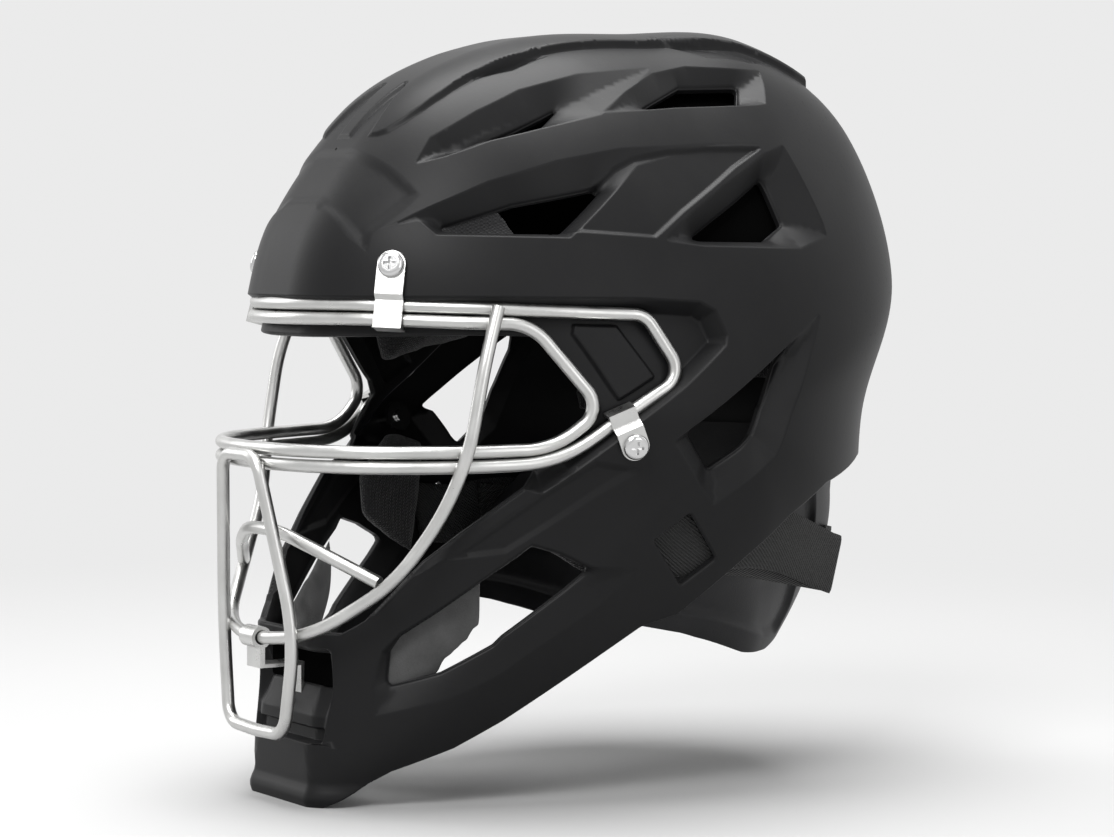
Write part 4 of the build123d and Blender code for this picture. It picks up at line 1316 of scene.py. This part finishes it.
def liner_material(color):
    """Black knit cover cloth with a soft sheen, its colour carrying the knit's painted shade and
    highlight.
    """
    material, s, shader = new_material(
        "Knit liner cover", color, 0.9, Sheen_Weight=0.25, Sheen_Roughness=0.5)
    knit = s.group("Knit cover", pitch=0.0014, vector=s.place())
    # Colour darkened in the knit's hollows and lightened on its loops as painted shading, then
    # dusted
    s.dusted(shader, 0.12, s.tint(color, knit["Painted shading"]), CLOTH_DUST)
    bump(s, shader, knit["Height"], 0.5, 0.0004)
    return material


def suede_material(color):
    """Brushed cover cloth: short nap in soft patches where it has been stroked both ways."""
    material, s, shader = new_material(
        "Brushed suede cover", color, 0.95, Sheen_Weight=0.5, Sheen_Roughness=0.4)
    place = s.place()
    patches = s.remap(s.noise(place, 42.0, 4.0, 0.6), 0.35, 0.65)
    nap = s.noise(place, 1400.0, 3.0, 0.7)
    light = (*(value * NAP_LIGHT for value in color), 1)
    tone = s.remap(s.math("MULTIPLY_ADD", s.math("SUBTRACT", nap, 0.5), 0.9, patches), 0.0, 1.0)
    s.wire(s.blend(tone, (*color, 1), light), shader.inputs["Base Color"])
    bump(s, shader, nap, 0.5, 0.0004)
    return material


def webbing_material(color):
    """Black elastic webbing, ribbed and twilled, its colour carrying painted shade in the hollows
    and painted highlight on the ridges.
    """
    material, s, shader = new_material("Ribbed elastic webbing", color, 0.85, Sheen_Weight=0.06)
    twill = s.group("Twill webbing", rib=0.0021, twill=0.0011)
    s.dusted(shader, 0.2, s.tint(color, twill["Painted shading"]), WEBBING_DUST)
    bump(s, shader, twill["Height"], 0.8, 0.0005)
    return material


def plate_flare(place, depth):
    """Depth with the nape plate's stand-off, more towards its lower back edge."""
    amount = np.interp(place[:, 2], PLATE_FLARE_HEIGHTS, PLATE_FLARES)
    return depth - amount * smooth_step(place[:, 1], *PLATE_FLARE_START)


def shadow_sheet_piece():
    """Black sheets of painted shadow behind the vents of the crown and behind the chin's slot, in
    one mesh: they stand for the shade inside the helmet.
    """
    parts = []
    for inset, shares in ((CROWN_SHADOW_SHEET_INSET, CROWN_SHADOW_SHEET_SHARES), (CHIN_SHADOW_SHEET_INSET, None)):
        form = HeadForm(inset)
        edge = form.trace(shares) if shares else form.trace_front(CHIN_SHADOW_SHEET_CORNERS)
        region = soften(edge, SHADOW_SHEET_RADIUS)
        skin = Skin(form, [], [], region=region, spacing=SHADOW_SHEET_SPACING)
        parts.append(skin.mesh(SHADOW_SHEET_WALL)[:2])
    return joined_piece("inner_walls", parts)


def plate_piece():
    """The nape plate: a thin skin with two sunk side panels, and its hinge knuckle."""
    form = HeadForm(PLATE_INSET)
    edge = soften(simplify(form.trace(PLATE_EDGE_SHARES)), PLATE_EDGE_RADIUS)
    panel = soften(simplify(form.trace(PLATE_PANEL_SHARES)), PLATE_PANEL_RADIUS)
    relief = Relief(panel, PLATE_PANEL_DEPTH, PLATE_PANEL_SLOPE)
    skin = Skin(form, [relief], [], region=edge, extra=plate_flare)
    return joined_piece("nape_plate_moulding", [skin.mesh(PLATE_WALL)[:2], knuckle()])


def knuckle():
    """Round eye of the plate's hinge on a short web, about the hinge pin."""
    (y, z), (bore, outer), (back, front, low) = HINGE_PLACE, KNUCKLE_RADII, KNUCKLE_WEB
    turns = np.radians(np.arange(0, 360, KNUCKLE_STEP_DEG))
    inner_line, outer_line = [], []
    for turn in turns:
        dy, dz = math.cos(turn), math.sin(turn)
        reach = outer
        if dz < 0:
            sides = [low / dz, (front if dy > 0 else back) / dy if abs(dy) > 1e-6 else 1.0]
            reach = min(sides)
        inner_line.append((y + bore * dy, z + bore * dz))
        outer_line.append((y + reach * dy, z + reach * dz))
    count = len(turns)
    verts = [
        (x, *point) for x in (-KNUCKLE_HALF, KNUCKLE_HALF) for point in inner_line + outer_line]
    faces = []
    for i in range(count):
        k = (i + 1) % count
        a, b, c, d = i, k, count + i, count + k
        e, f, g, h = (2 * count + value for value in (a, b, c, d))
        faces += [(a, c, d, b), (e, f, h, g), (a, b, f, e), (c, g, h, d)]
    return np.array(verts), faces


def tuck_in(mesh, skin):
    """Sinks a pad's outer face below the grooves and vents of the shell that it lies against."""
    points = np.array([v.co for v in mesh.vertices])
    place, deep = skin.form.lay(points)
    needed = np.maximum(skin.depth(place)[0], 0)
    lack = np.clip(needed + PAD_UNDER_WALL + PAD_CLEARANCE - deep, 0, PAD_MOST_SUNK)
    inward = unit(np.array([0, *skin.form.ear]) - points)
    share = np.clip(1 - (deep - PAD_NEAR_SKIN) / PAD_NEAR_SKIN, PAD_LEAST_SHARE, 1)
    points += inward * (lack * share)[:, None]
    mesh.vertices.foreach_set("co", points.ravel())
    mesh.update()


def reshaped(source, target, *actions):
    """Writes a mesh to another one after some edits."""
    shape = bmesh.new()
    shape.from_mesh(source)
    for action in actions:
        action(shape)
    shape.to_mesh(target)
    shape.free()
    target.update()
    return target


def weld(shape):
    """Joins vertices at the same place."""
    bmesh.ops.remove_doubles(shape, verts=shape.verts, dist=1e-6)


def blown_up(piece):
    """Points of a pad's cover under pressure, by a cloth simulation."""
    cloth = piece.modifiers.new("Cloth", "CLOTH")
    cloth.settings.use_pressure = True
    cloth.settings.uniform_pressure_force = PAD_PRESSURE
    cloth.settings.effector_weights.gravity = 0
    cloth.point_cache.frame_start = 1
    cloth.point_cache.frame_end = PAD_FRAMES
    for step in range(1, PAD_FRAMES + 1):
        bpy.context.scene.frame_set(step)
    moved = evaluated_mesh(piece)
    piece.modifiers.clear()
    bpy.context.scene.frame_set(1)
    points = np.array([v.co for v in moved.vertices])
    bpy.data.meshes.remove(moved)
    return points


def filled_pad(node, name):
    """A pad's own form as padded cloth, blown up from a slightly smaller shape."""
    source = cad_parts[node].data
    piece = new_object(name, reshaped(source, bpy.data.meshes.new(name), weld))
    remesh = piece.modifiers.new("Remesh", "REMESH")
    remesh.mode = "VOXEL"
    remesh.voxel_size = PAD_VOXEL
    piece.data = evaluated_mesh(piece)
    piece.modifiers.clear()
    mesh = piece.data
    for _ in range(PAD_SMOOTHINGS):
        smooth_once(mesh)
    start = np.array([v.co - v.normal * PAD_SHRINK for v in mesh.vertices])
    mesh.vertices.foreach_set("co", start.ravel())
    mesh.update()
    end = blown_up(piece)
    shift = end - start
    size = np.linalg.norm(shift, axis=1)
    shift *= np.minimum(1, PAD_FILL / np.maximum(size, TINY))[:, None]
    mesh.vertices.foreach_set("co", (start + shift).ravel())
    tuck_in(mesh, shell_skin())
    smooth_once(mesh)
    mesh.polygons.foreach_set("use_smooth", [True] * len(mesh.polygons))
    mesh.update()
    rounding = piece.modifiers.new("Rounding", "SUBSURF")
    rounding.levels = rounding.render_levels = 1
    return piece


def evaluated_mesh(piece):
    """A piece's mesh with its modifiers applied."""
    graph = bpy.context.evaluated_depsgraph_get()
    graph.update()
    return bpy.data.meshes.new_from_object(piece.evaluated_get(graph))


def smooth_once(mesh):
    """Moves each vertex halfway to the middle of those round it."""
    settings = {"factor": 0.5, "use_axis_x": True, "use_axis_y": True, "use_axis_z": True}
    reshaped(mesh, mesh, lambda shape: bmesh.ops.smooth_vert(shape, verts=shape.verts, **settings))


def mirrored_copy(piece, name):
    """The same piece on the other side."""
    mesh = reshaped(
        piece.data, bpy.data.meshes.new(name),
        lambda shape: bmesh.ops.scale(shape, vec=(-1, 1, 1), verts=shape.verts),
        lambda shape: bmesh.ops.reverse_faces(shape, faces=shape.faces))
    other = new_object(name, mesh)
    for modifier in piece.modifiers:
        copy = other.modifiers.new(modifier.name, modifier.type)
        copy.levels = copy.render_levels = modifier.levels
    return other


def ribbon(name, rows, thickness):
    """Webbing as a closed solid round a sheet of points, with rounded edges and a UV map."""
    rows = np.array(rows)
    count, width = rows.shape[:2]
    along = np.gradient(rows, axis=0)
    across = np.gradient(rows, axis=1)
    normal = unit(np.cross(along, across))
    edge = np.minimum(np.arange(width), np.arange(width)[::-1]) / ROUNDED_COLUMNS
    half = thickness / 2 * np.sqrt(1 - (1 - np.clip(edge, 0, 1)) ** 2 * EDGE_THINNED)
    offset = normal * half[None, :, None]
    loop = np.concatenate([rows + offset, (rows - offset)[:, ::-1]], axis=1)
    around = loop.shape[1]
    verts = loop.reshape(-1, 3)
    steps = np.linalg.norm(np.diff(rows[:, width // 2], axis=0), axis=1)
    run = np.concatenate([[0], np.cumsum(steps)])
    place = np.linspace(0, STRAP_WIDTH, width)
    place = np.concatenate([place, place[::-1]])
    faces, coords = [], []
    for i in range(count - 1):
        for j in range(around):
            k = (j + 1) % around
            corners = [(i, j), (i, k), (i + 1, k), (i + 1, j)]
            faces.append(tuple(row * around + column for row, column in corners))
            coords += [(run[row], place[column]) for row, column in corners]
    for i, turn in ((0, -1), (count - 1, 1)):
        for j in range(width - 1):
            corners = [(j, j), (j + 1, j + 1), (around - 2 - j, j + 1), (around - 1 - j, j)]
            for a, b in corners[::turn]:
                coords.append((run[i], place[b]))
            faces.append(tuple(i * around + a for a, _ in corners[::turn]))
    piece = mesh_piece(name, verts, faces)
    layer = piece.data.uv_layers.new(name="Webbing")
    layer.data.foreach_set("uv", np.array(coords).ravel())
    mesh = piece.data
    reshaped(mesh, mesh, lambda shape: bmesh.ops.recalc_face_normals(shape, faces=shape.faces))
    return piece


def between(first, last, count):
    """Rows of webbing drawn smoothly from one row to another, leaving along the first row's run."""
    start, run = first
    end = np.array(last)
    straight = end - start
    lead = run * np.linalg.norm(straight, axis=1)[:, None]
    rows = []
    for t in np.linspace(0, 1, count):
        a, b = 2 * t ** 3 - 3 * t ** 2 + 1, t ** 3 - 2 * t ** 2 + t
        rows.append(start * a + lead * b + end * (1 - a) + straight * (t ** 3 - t ** 2))
    return rows


def unit(vectors):
    """Vectors at a length of one."""
    return vectors / np.linalg.norm(vectors, axis=-1)[..., None]


def strap_loop():
    """Rows of one side's webbing: out from under the shell, round its fold and back."""
    headings = np.linspace(*UPPER_HEADINGS)
    slips = UPPER_SLIP * smooth_step(-headings, *UPPER_SLIP_RUN)
    upper = strap_rows([(h, UPPER_OFF, slip) for h, slip in zip(headings, slips)])
    fold = np.linspace(FOLD_LOW, FOLD_TOP, STRAP_COLUMNS)
    leave = unit(upper[-1] - upper[-2])
    rows = upper[:-1] + between((upper[-1], leave), fold, FREE_ROWS)
    out = unit(rows[-1] - rows[-2]).mean(axis=0)
    width = unit(fold[-1] - fold[0])
    inward = np.cross(out, width)
    inward *= -np.sign(inward @ (fold.mean(axis=0) - (0, STRAP_AXIS_Y, 0)))
    for turn in np.linspace(0, math.pi, FOLD_ROWS)[1:]:
        rows.append(fold + FOLD_RADIUS * (out * math.sin(turn) + inward * (1 - math.cos(turn))))
    under = strap_rows([(h, UNDER_OFF, UNDER_SLIP) for h in np.linspace(*UNDER_HEADINGS)])
    back = unit(under[0] - rows[-1])
    return rows[:-1] + between((rows[-1], back), under[0], FREE_ROWS) + under[1:]


def strap_rows(stations):
    """Sheet of webbing from stations of heading in degrees, stand-off from the form and slip."""
    form = HeadForm()
    tilt = math.radians(STRAP_TILT_DEG)
    up_y, up_z = math.sin(tilt), math.cos(tilt)
    width = np.linspace(-STRAP_WIDTH / 2, STRAP_WIDTH / 2, STRAP_COLUMNS)
    start_z = STRAP_MIDDLE_Z - math.tan(tilt) * STRAP_AXIS_Y
    rows = []
    for heading, off, slip in stations:
        angle = math.radians(heading)
        lift = width + slip
        origin_y, origin_z = STRAP_AXIS_Y + lift * up_y, start_z + lift * up_z
        origin = np.stack([np.zeros_like(lift), origin_y, origin_z], axis=1)
        ray = np.array([math.sin(angle), math.cos(angle) * up_z, -math.cos(angle) * up_y])
        reach = form.hit(origin, np.repeat(ray[None], STRAP_COLUMNS, axis=0))
        probes = np.eye(3) * SLOPE_PROBE
        slope = [form.gauge(reach + probe) - form.gauge(reach - probe) for probe in probes]
        rows.append(reach + unit(np.stack(slope, axis=1)) * off)
    return rows


def assign(nodes, material):
    """Gives carried-over CAD nodes a finished material."""
    for name in nodes:
        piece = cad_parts[name]
        piece.data.materials.clear()
        piece.data.materials.append(material)


def nodes_named(*words):
    """Names of the CAD nodes that hold one of the words."""
    found = [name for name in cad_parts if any(word in name for word in words)]
    if not found:
        raise RuntimeError("No CAD node is named like " + ", ".join(words))
    return found


def color_prop(name, description, value):
    """A colour that a user can set."""
    return bpy.props.FloatVectorProperty(
        name=name, description=description, default=value, size=3, subtype="COLOR",
        min=0.0, max=1.0)


def length_prop(name, description, value):
    """A length that a user can set."""
    return bpy.props.FloatProperty(
        name=name, description=description, default=value, unit="LENGTH", min=0.0)


def share_prop(name, description, value):
    """A share between 0 and 1 that a user can set."""
    return bpy.props.FloatProperty(
        name=name, description=description, default=value, subtype="FACTOR", min=0.0, max=1.0)


class HelmetShellSettings(bpy.types.PropertyGroup):
    color: color_prop("Shell colour", "Colour of the moulded shell", (0.009, 0.009, 0.0095))
    roughness: share_prop("Shell roughness", "How soft the shell's reflections are", 0.42)
    wall: length_prop("Wall", "Thickness of the shell's wall", 0.0030)
    plate_color: color_prop("Plate colour", "Colour of the nape plate", (0.008, 0.008, 0.009))


class HelmetMetalSettings(bpy.types.PropertyGroup):
    wire_color: color_prop("Wire colour", "Colour of the cage's coated wire", (0.56, 0.56, 0.55))
    wire_roughness: share_prop("Wire roughness", "How soft the wire's reflections are", 0.34)
    clip_color: color_prop("Clip colour", "Colour of the pressed steel clips", (0.60, 0.60, 0.59))
    screw_color: color_prop("Screw colour", "Colour of the plated screws", (0.62, 0.62, 0.62))


class HelmetSoftSettings(bpy.types.PropertyGroup):
    liner_color: color_prop(
        "Liner colour", "Colour of the liner's cover cloth", (0.011, 0.011, 0.012))
    suede_color: color_prop(
        "Chin pad colour", "Colour of the chin pad's brushed cover", (0.050, 0.050, 0.050))
    webbing_color: color_prop(
        "Webbing colour", "Colour of the elastic webbing", (0.011, 0.011, 0.011))


class HelmetStudioSettings(bpy.types.PropertyGroup):
    backdrop: color_prop(
        "Backdrop colour", "Colour of the floor and of the studio round it", (0.83, 0.83, 0.83))
    light_level: share_prop("Light level", "Strength of the studio's soft lights", 0.38)


class HELMET_OT_shell(bpy.types.Operator):
    """Builds the moulded shell with its vents, grooves and rounded rims"""

    bl_idname = "helmet.shell"
    bl_label = "Moulded shell"

    def execute(self, context):
        settings = context.scene.helmet_shell
        piece = mesh_piece("moulded_shell", *shell_skin().mesh(settings.wall))
        material = shell_material(tuple(settings.color), settings.roughness)
        finish_piece(piece, "root", material, ("outer_shell",))
        return {"FINISHED"}


class HELMET_OT_plate(bpy.types.Operator):
    """Finishes the nape plate, its hinge and its raised rim, and adds the black sheets of painted
    shadow behind the vents and the chin's slot
    """

    bl_idname = "helmet.plate"
    bl_label = "Nape plate"

    def execute(self, context):
        color = tuple(context.scene.helmet_shell.plate_color)
        material = plate_material("Matte moulded plastic", color, 0.25, 0.25)
        finish_piece(plate_piece(), "nape", material, ("nape_plate",))
        assign(("nape_bracket",), material)
        # Painted shadow: the sheets behind the vents and the chin's slot get a dead black with no
        # specular, standing for the shade inside the helmet
        inner = plate_material("Black inner wall", SHADOW_SHEET_COLOR, 0.02, 0.0)
        finish_piece(shadow_sheet_piece(), "root", inner)
        return {"FINISHED"}


class HELMET_OT_cage(bpy.types.Operator):
    """Gives the face cage its coated wire"""

    bl_idname = "helmet.cage"
    bl_label = "Face cage"

    def execute(self, context):
        settings = context.scene.helmet_metal
        color, roughness = tuple(settings.wire_color), settings.wire_roughness
        material = metal_material("Satin coated wire", color, roughness, 900.0, 0.25, 0.25)
        assign(nodes_named("cage_"), material)
        return {"FINISHED"}


class HELMET_OT_clips(bpy.types.Operator):
    """Gives the clips, screws, nuts and hinge pin their bright steel"""

    bl_idname = "helmet.clips"
    bl_label = "Clips and screws"

    def execute(self, context):
        settings = context.scene.helmet_metal
        clip, screw = tuple(settings.clip_color), tuple(settings.screw_color)
        screws = nodes_named("_screw", "_nut", "nape_pin")
        for nodes, name, color, roughness, grain, strength, wear in (
            (nodes_named("_clip"), "Pressed bright steel", clip, 0.30, 500.0, 0.20, 0.5),
            (screws, "Plated screw", screw, 0.16, 700.0, 0.08, 0.3),
            (("chin_screw",), "Blackened screw", BLACKENED_COLOR, 0.4, 700.0, 0.08, 0.3),
        ):
            assign(nodes, metal_material(name, color, roughness, grain, strength, wear))
        return {"FINISHED"}


class HELMET_OT_liner(bpy.types.Operator):
    """Fills out the liner pads and covers them in knit cloth"""

    bl_idname = "helmet.liner"
    bl_label = "Liner pads"

    def execute(self, context):
        material = liner_material(tuple(context.scene.helmet_soft.liner_color))
        for name in ("forehead_pad", "crown_pad", "nape_pad"):
            piece = filled_pad(name, "padded_" + name)
            body = "nape" if name == "nape_pad" else "root"
            finish_piece(piece, body, material, (name,))
        for name in ("temple_pad", "back_pad", "cheek_pad"):
            piece = filled_pad(name + "_left", "padded_" + name + "_left")
            other = mirrored_copy(piece, "padded_" + name + "_right")
            for side, one_piece in (("_left", piece), ("_right", other)):
                finish_piece(one_piece, "root", material, (name + side,))
        return {"FINISHED"}


class HELMET_OT_chin_pad(bpy.types.Operator):
    """Fills out the chin pad and covers it in brushed suede-like cloth"""

    bl_idname = "helmet.chin_pad"
    bl_label = "Chin pad"

    def execute(self, context):
        material = suede_material(tuple(context.scene.helmet_soft.suede_color))
        piece = filled_pad("chin_pad", "padded_chin_pad")
        finish_piece(piece, "root", material, ("chin_pad",))
        return {"FINISHED"}


class HELMET_OT_webbing(bpy.types.Operator):
    """Lays the elastic webbing from the cheek slots round the nape plate"""

    bl_idname = "helmet.webbing"
    bl_label = "Elastic webbing"

    def execute(self, context):
        settings = context.scene.helmet_soft
        material = webbing_material(tuple(settings.webbing_color))
        headings = np.linspace(*BACK_HEADINGS)
        rows = strap_rows([(heading, BACK_OFF, BACK_SLIP) for heading in headings])
        piece = ribbon("webbing_back", rows, STRAP_THICK)
        finish_piece(piece, "nape", material, ("back_strap",))
        rows = strap_loop()
        for side, turn in (("left", 1), ("right", -1)):
            side_rows = [row * (turn, 1, 1) for row in rows]
            piece = ribbon("webbing_loop_" + side, side_rows, STRAP_THICK)
            finish_piece(piece, None, material, ("strap_end_" + side,))
            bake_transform(piece)
        return {"FINISHED"}


def soft_light(name, place, size, power):
    """Large soft lamp that faces the helmet."""
    lamp = bpy.data.lights.new(name, "AREA")
    lamp.shape = "RECTANGLE"
    lamp.size, lamp.size_y = size
    lamp.energy = power
    holder = new_object(name, lamp)
    holder.location = place
    holder.rotation_euler = (-Vector(place)).to_track_quat("-Z", "Y").to_euler()


WORLD_LEVEL = 0.30
FULL_LEVEL = 2.0
FLOOR_SHARE = 0.56
FLOOR_GAP = 0.0005
FLOOR_RINGS = (0.35, 0.7, 1.2, 2.4, 5.0, 12.0)
FLOOR_SIDES = 96
FLOOR_FADE = (0.25, 0.9)
# Each lamp: its name, place, size and power
LAMPS = (
    ("Key light", (0.9, -1.3, 1.5), (0.9, 0.9), 40.0),
    ("Side light", (1.9, 0.2, 0.5), (0.7, 1.4), 7.0),
    ("Rear light", (0.6, 1.7, 1.1), (1.0, 1.0), 3.0),
    ("Top light", (-0.3, 0.1, 2.0), (1.6, 1.6), 96.0),
    ("Far light", (-1.6, -1.0, 0.8), (0.8, 1.2), 12.0),
)


def backdrop_world(color):
    """World that camera, mirror and glass rays see at full strength and the object at less."""
    world = bpy.data.worlds.new("Studio")
    bpy.context.scene.world = world
    world.use_nodes = True
    s = Shading(world.node_tree)
    background = world.node_tree.nodes["Background"]
    rays = s.add("ShaderNodeLightPath")
    seen = s.math("MAXIMUM", rays.outputs["Is Camera Ray"], rays.outputs["Is Transmission Ray"])
    seen = s.math("MAXIMUM", seen, rays.outputs["Is Glossy Ray"])
    s.wire(s.remap(seen, 0.0, 1.0, WORLD_LEVEL, 1.0), background.inputs["Strength"])
    background.inputs["Color"].default_value = (*color, 1)


def backdrop_floor(color):
    """Pale floor that runs into the backdrop's own colour away from the helmet."""
    around = FLOOR_SIDES
    low = FRAME_BOX[0][2] - FLOOR_GAP
    turns = [FULL_TURN * i / around for i in range(around)]
    verts = [(0, 0, low)]
    for r in FLOOR_RINGS:
        verts += [(r * math.cos(turn), r * math.sin(turn), low) for turn in turns]
    faces = [(0, 1 + i, 1 + (i + 1) % around) for i in range(around)]
    for k in range(len(FLOOR_RINGS) - 1):
        a, b = 1 + k * around, 1 + (k + 1) * around
        faces += [(a + i, b + i, b + (i + 1) % around, a + (i + 1) % around) for i in range(around)]
    floor = mesh_piece("studio_floor", verts, faces)
    dimmed = [value * FLOOR_SHARE for value in color]
    material, s, shader = new_material("Pale studio floor", dimmed, 0.8)
    glow = s.feed(s.add("ShaderNodeEmission"), {"Color": (*color, 1), "Strength": 1.0})
    length = s.feed(s.add("ShaderNodeVectorMath", operation="LENGTH"), {0: s.place()})
    away = s.remap(length.outputs["Value"], *FLOOR_FADE)
    values = {0: away, 1: shader.outputs[0], 2: glow.outputs[0]}
    mix = s.feed(s.add("ShaderNodeMixShader"), values)
    s.wire(mix.outputs[0], material.node_tree.nodes["Material Output"].inputs["Surface"])
    floor.data.materials.append(material)


CAMERA_HEADING_DEG = 57.0
CAMERA_RISE_DEG = 3.2
CAMERA_DISTANCE = 1.306
PHOTO_WIDTH = 1114
FOCAL_PIXELS = 3200.0
SENSOR_WIDTH = 36.0


def photo_camera():
    """Camera at the photograph's view of the helmet."""
    heading, rise = math.radians(CAMERA_HEADING_DEG), math.radians(CAMERA_RISE_DEG)
    level = math.cos(rise)
    ahead = Vector((-math.sin(heading) * level, math.cos(heading) * level, -math.sin(rise)))
    lens = bpy.data.cameras.new("Photo view")
    lens.sensor_fit = "HORIZONTAL"
    lens.sensor_width = SENSOR_WIDTH
    lens.lens = FOCAL_PIXELS * SENSOR_WIDTH / PHOTO_WIDTH
    camera = new_object("Photo view", lens)
    camera.location = -ahead * CAMERA_DISTANCE
    camera.rotation_euler = ahead.to_track_quat("-Z", "Y").to_euler()
    bpy.context.scene.camera = camera


class HELMET_OT_studio(bpy.types.Operator):
    """Sets up the pale floor, the soft lights and the camera at the photograph's view"""

    bl_idname = "helmet.studio"
    bl_label = "Studio"

    def execute(self, context):
        settings = context.scene.helmet_studio
        color = tuple(settings.backdrop)
        level = settings.light_level * FULL_LEVEL
        backdrop_world(color)
        backdrop_floor(color)
        for name, place, size, power in LAMPS:
            soft_light(name, place, size, power * level)
        context.scene.view_settings.view_transform = "Standard"
        photo_camera()
        return {"FINISHED"}


STEPS = (
    HELMET_OT_studio, HELMET_OT_shell, HELMET_OT_plate, HELMET_OT_cage, HELMET_OT_clips,
    HELMET_OT_liner, HELMET_OT_chin_pad, HELMET_OT_webbing,
)
SETTINGS = {
    "helmet_shell": HelmetShellSettings,
    "helmet_metal": HelmetMetalSettings,
    "helmet_soft": HelmetSoftSettings,
    "helmet_studio": HelmetStudioSettings,
}


class HELMET_PT_build(bpy.types.Panel):
    """Lists the sizes and colours, and a button for each step"""

    bl_idname = "HELMET_PT_build"
    bl_label = "Catcher helmet"
    bl_space_type = "VIEW_3D"
    bl_region_type = "UI"
    bl_category = "Helmet"

    def draw(self, context):
        for name, group in SETTINGS.items():
            box = self.layout.box()
            for prop in group.__annotations__:
                box.prop(getattr(context.scene, name), prop)
        for step in STEPS:
            self.layout.operator(step.bl_idname)


CLASSES = (*SETTINGS.values(), *STEPS, HELMET_PT_build)


def register():
    for item in CLASSES:
        bpy.utils.register_class(item)
    for name, group in SETTINGS.items():
        setattr(bpy.types.Scene, name, bpy.props.PointerProperty(type=group))


def unregister():
    for name in SETTINGS:
        delattr(bpy.types.Scene, name)
    for item in reversed(CLASSES):
        bpy.utils.unregister_class(item)


def main():
    """Builds every piece round the frame."""
    register()
    make_groups()
    for step in STEPS:
        space, action = step.bl_idname.split(".")
        getattr(getattr(bpy.ops, space), action)()


if __name__ == "__main__":
    main()
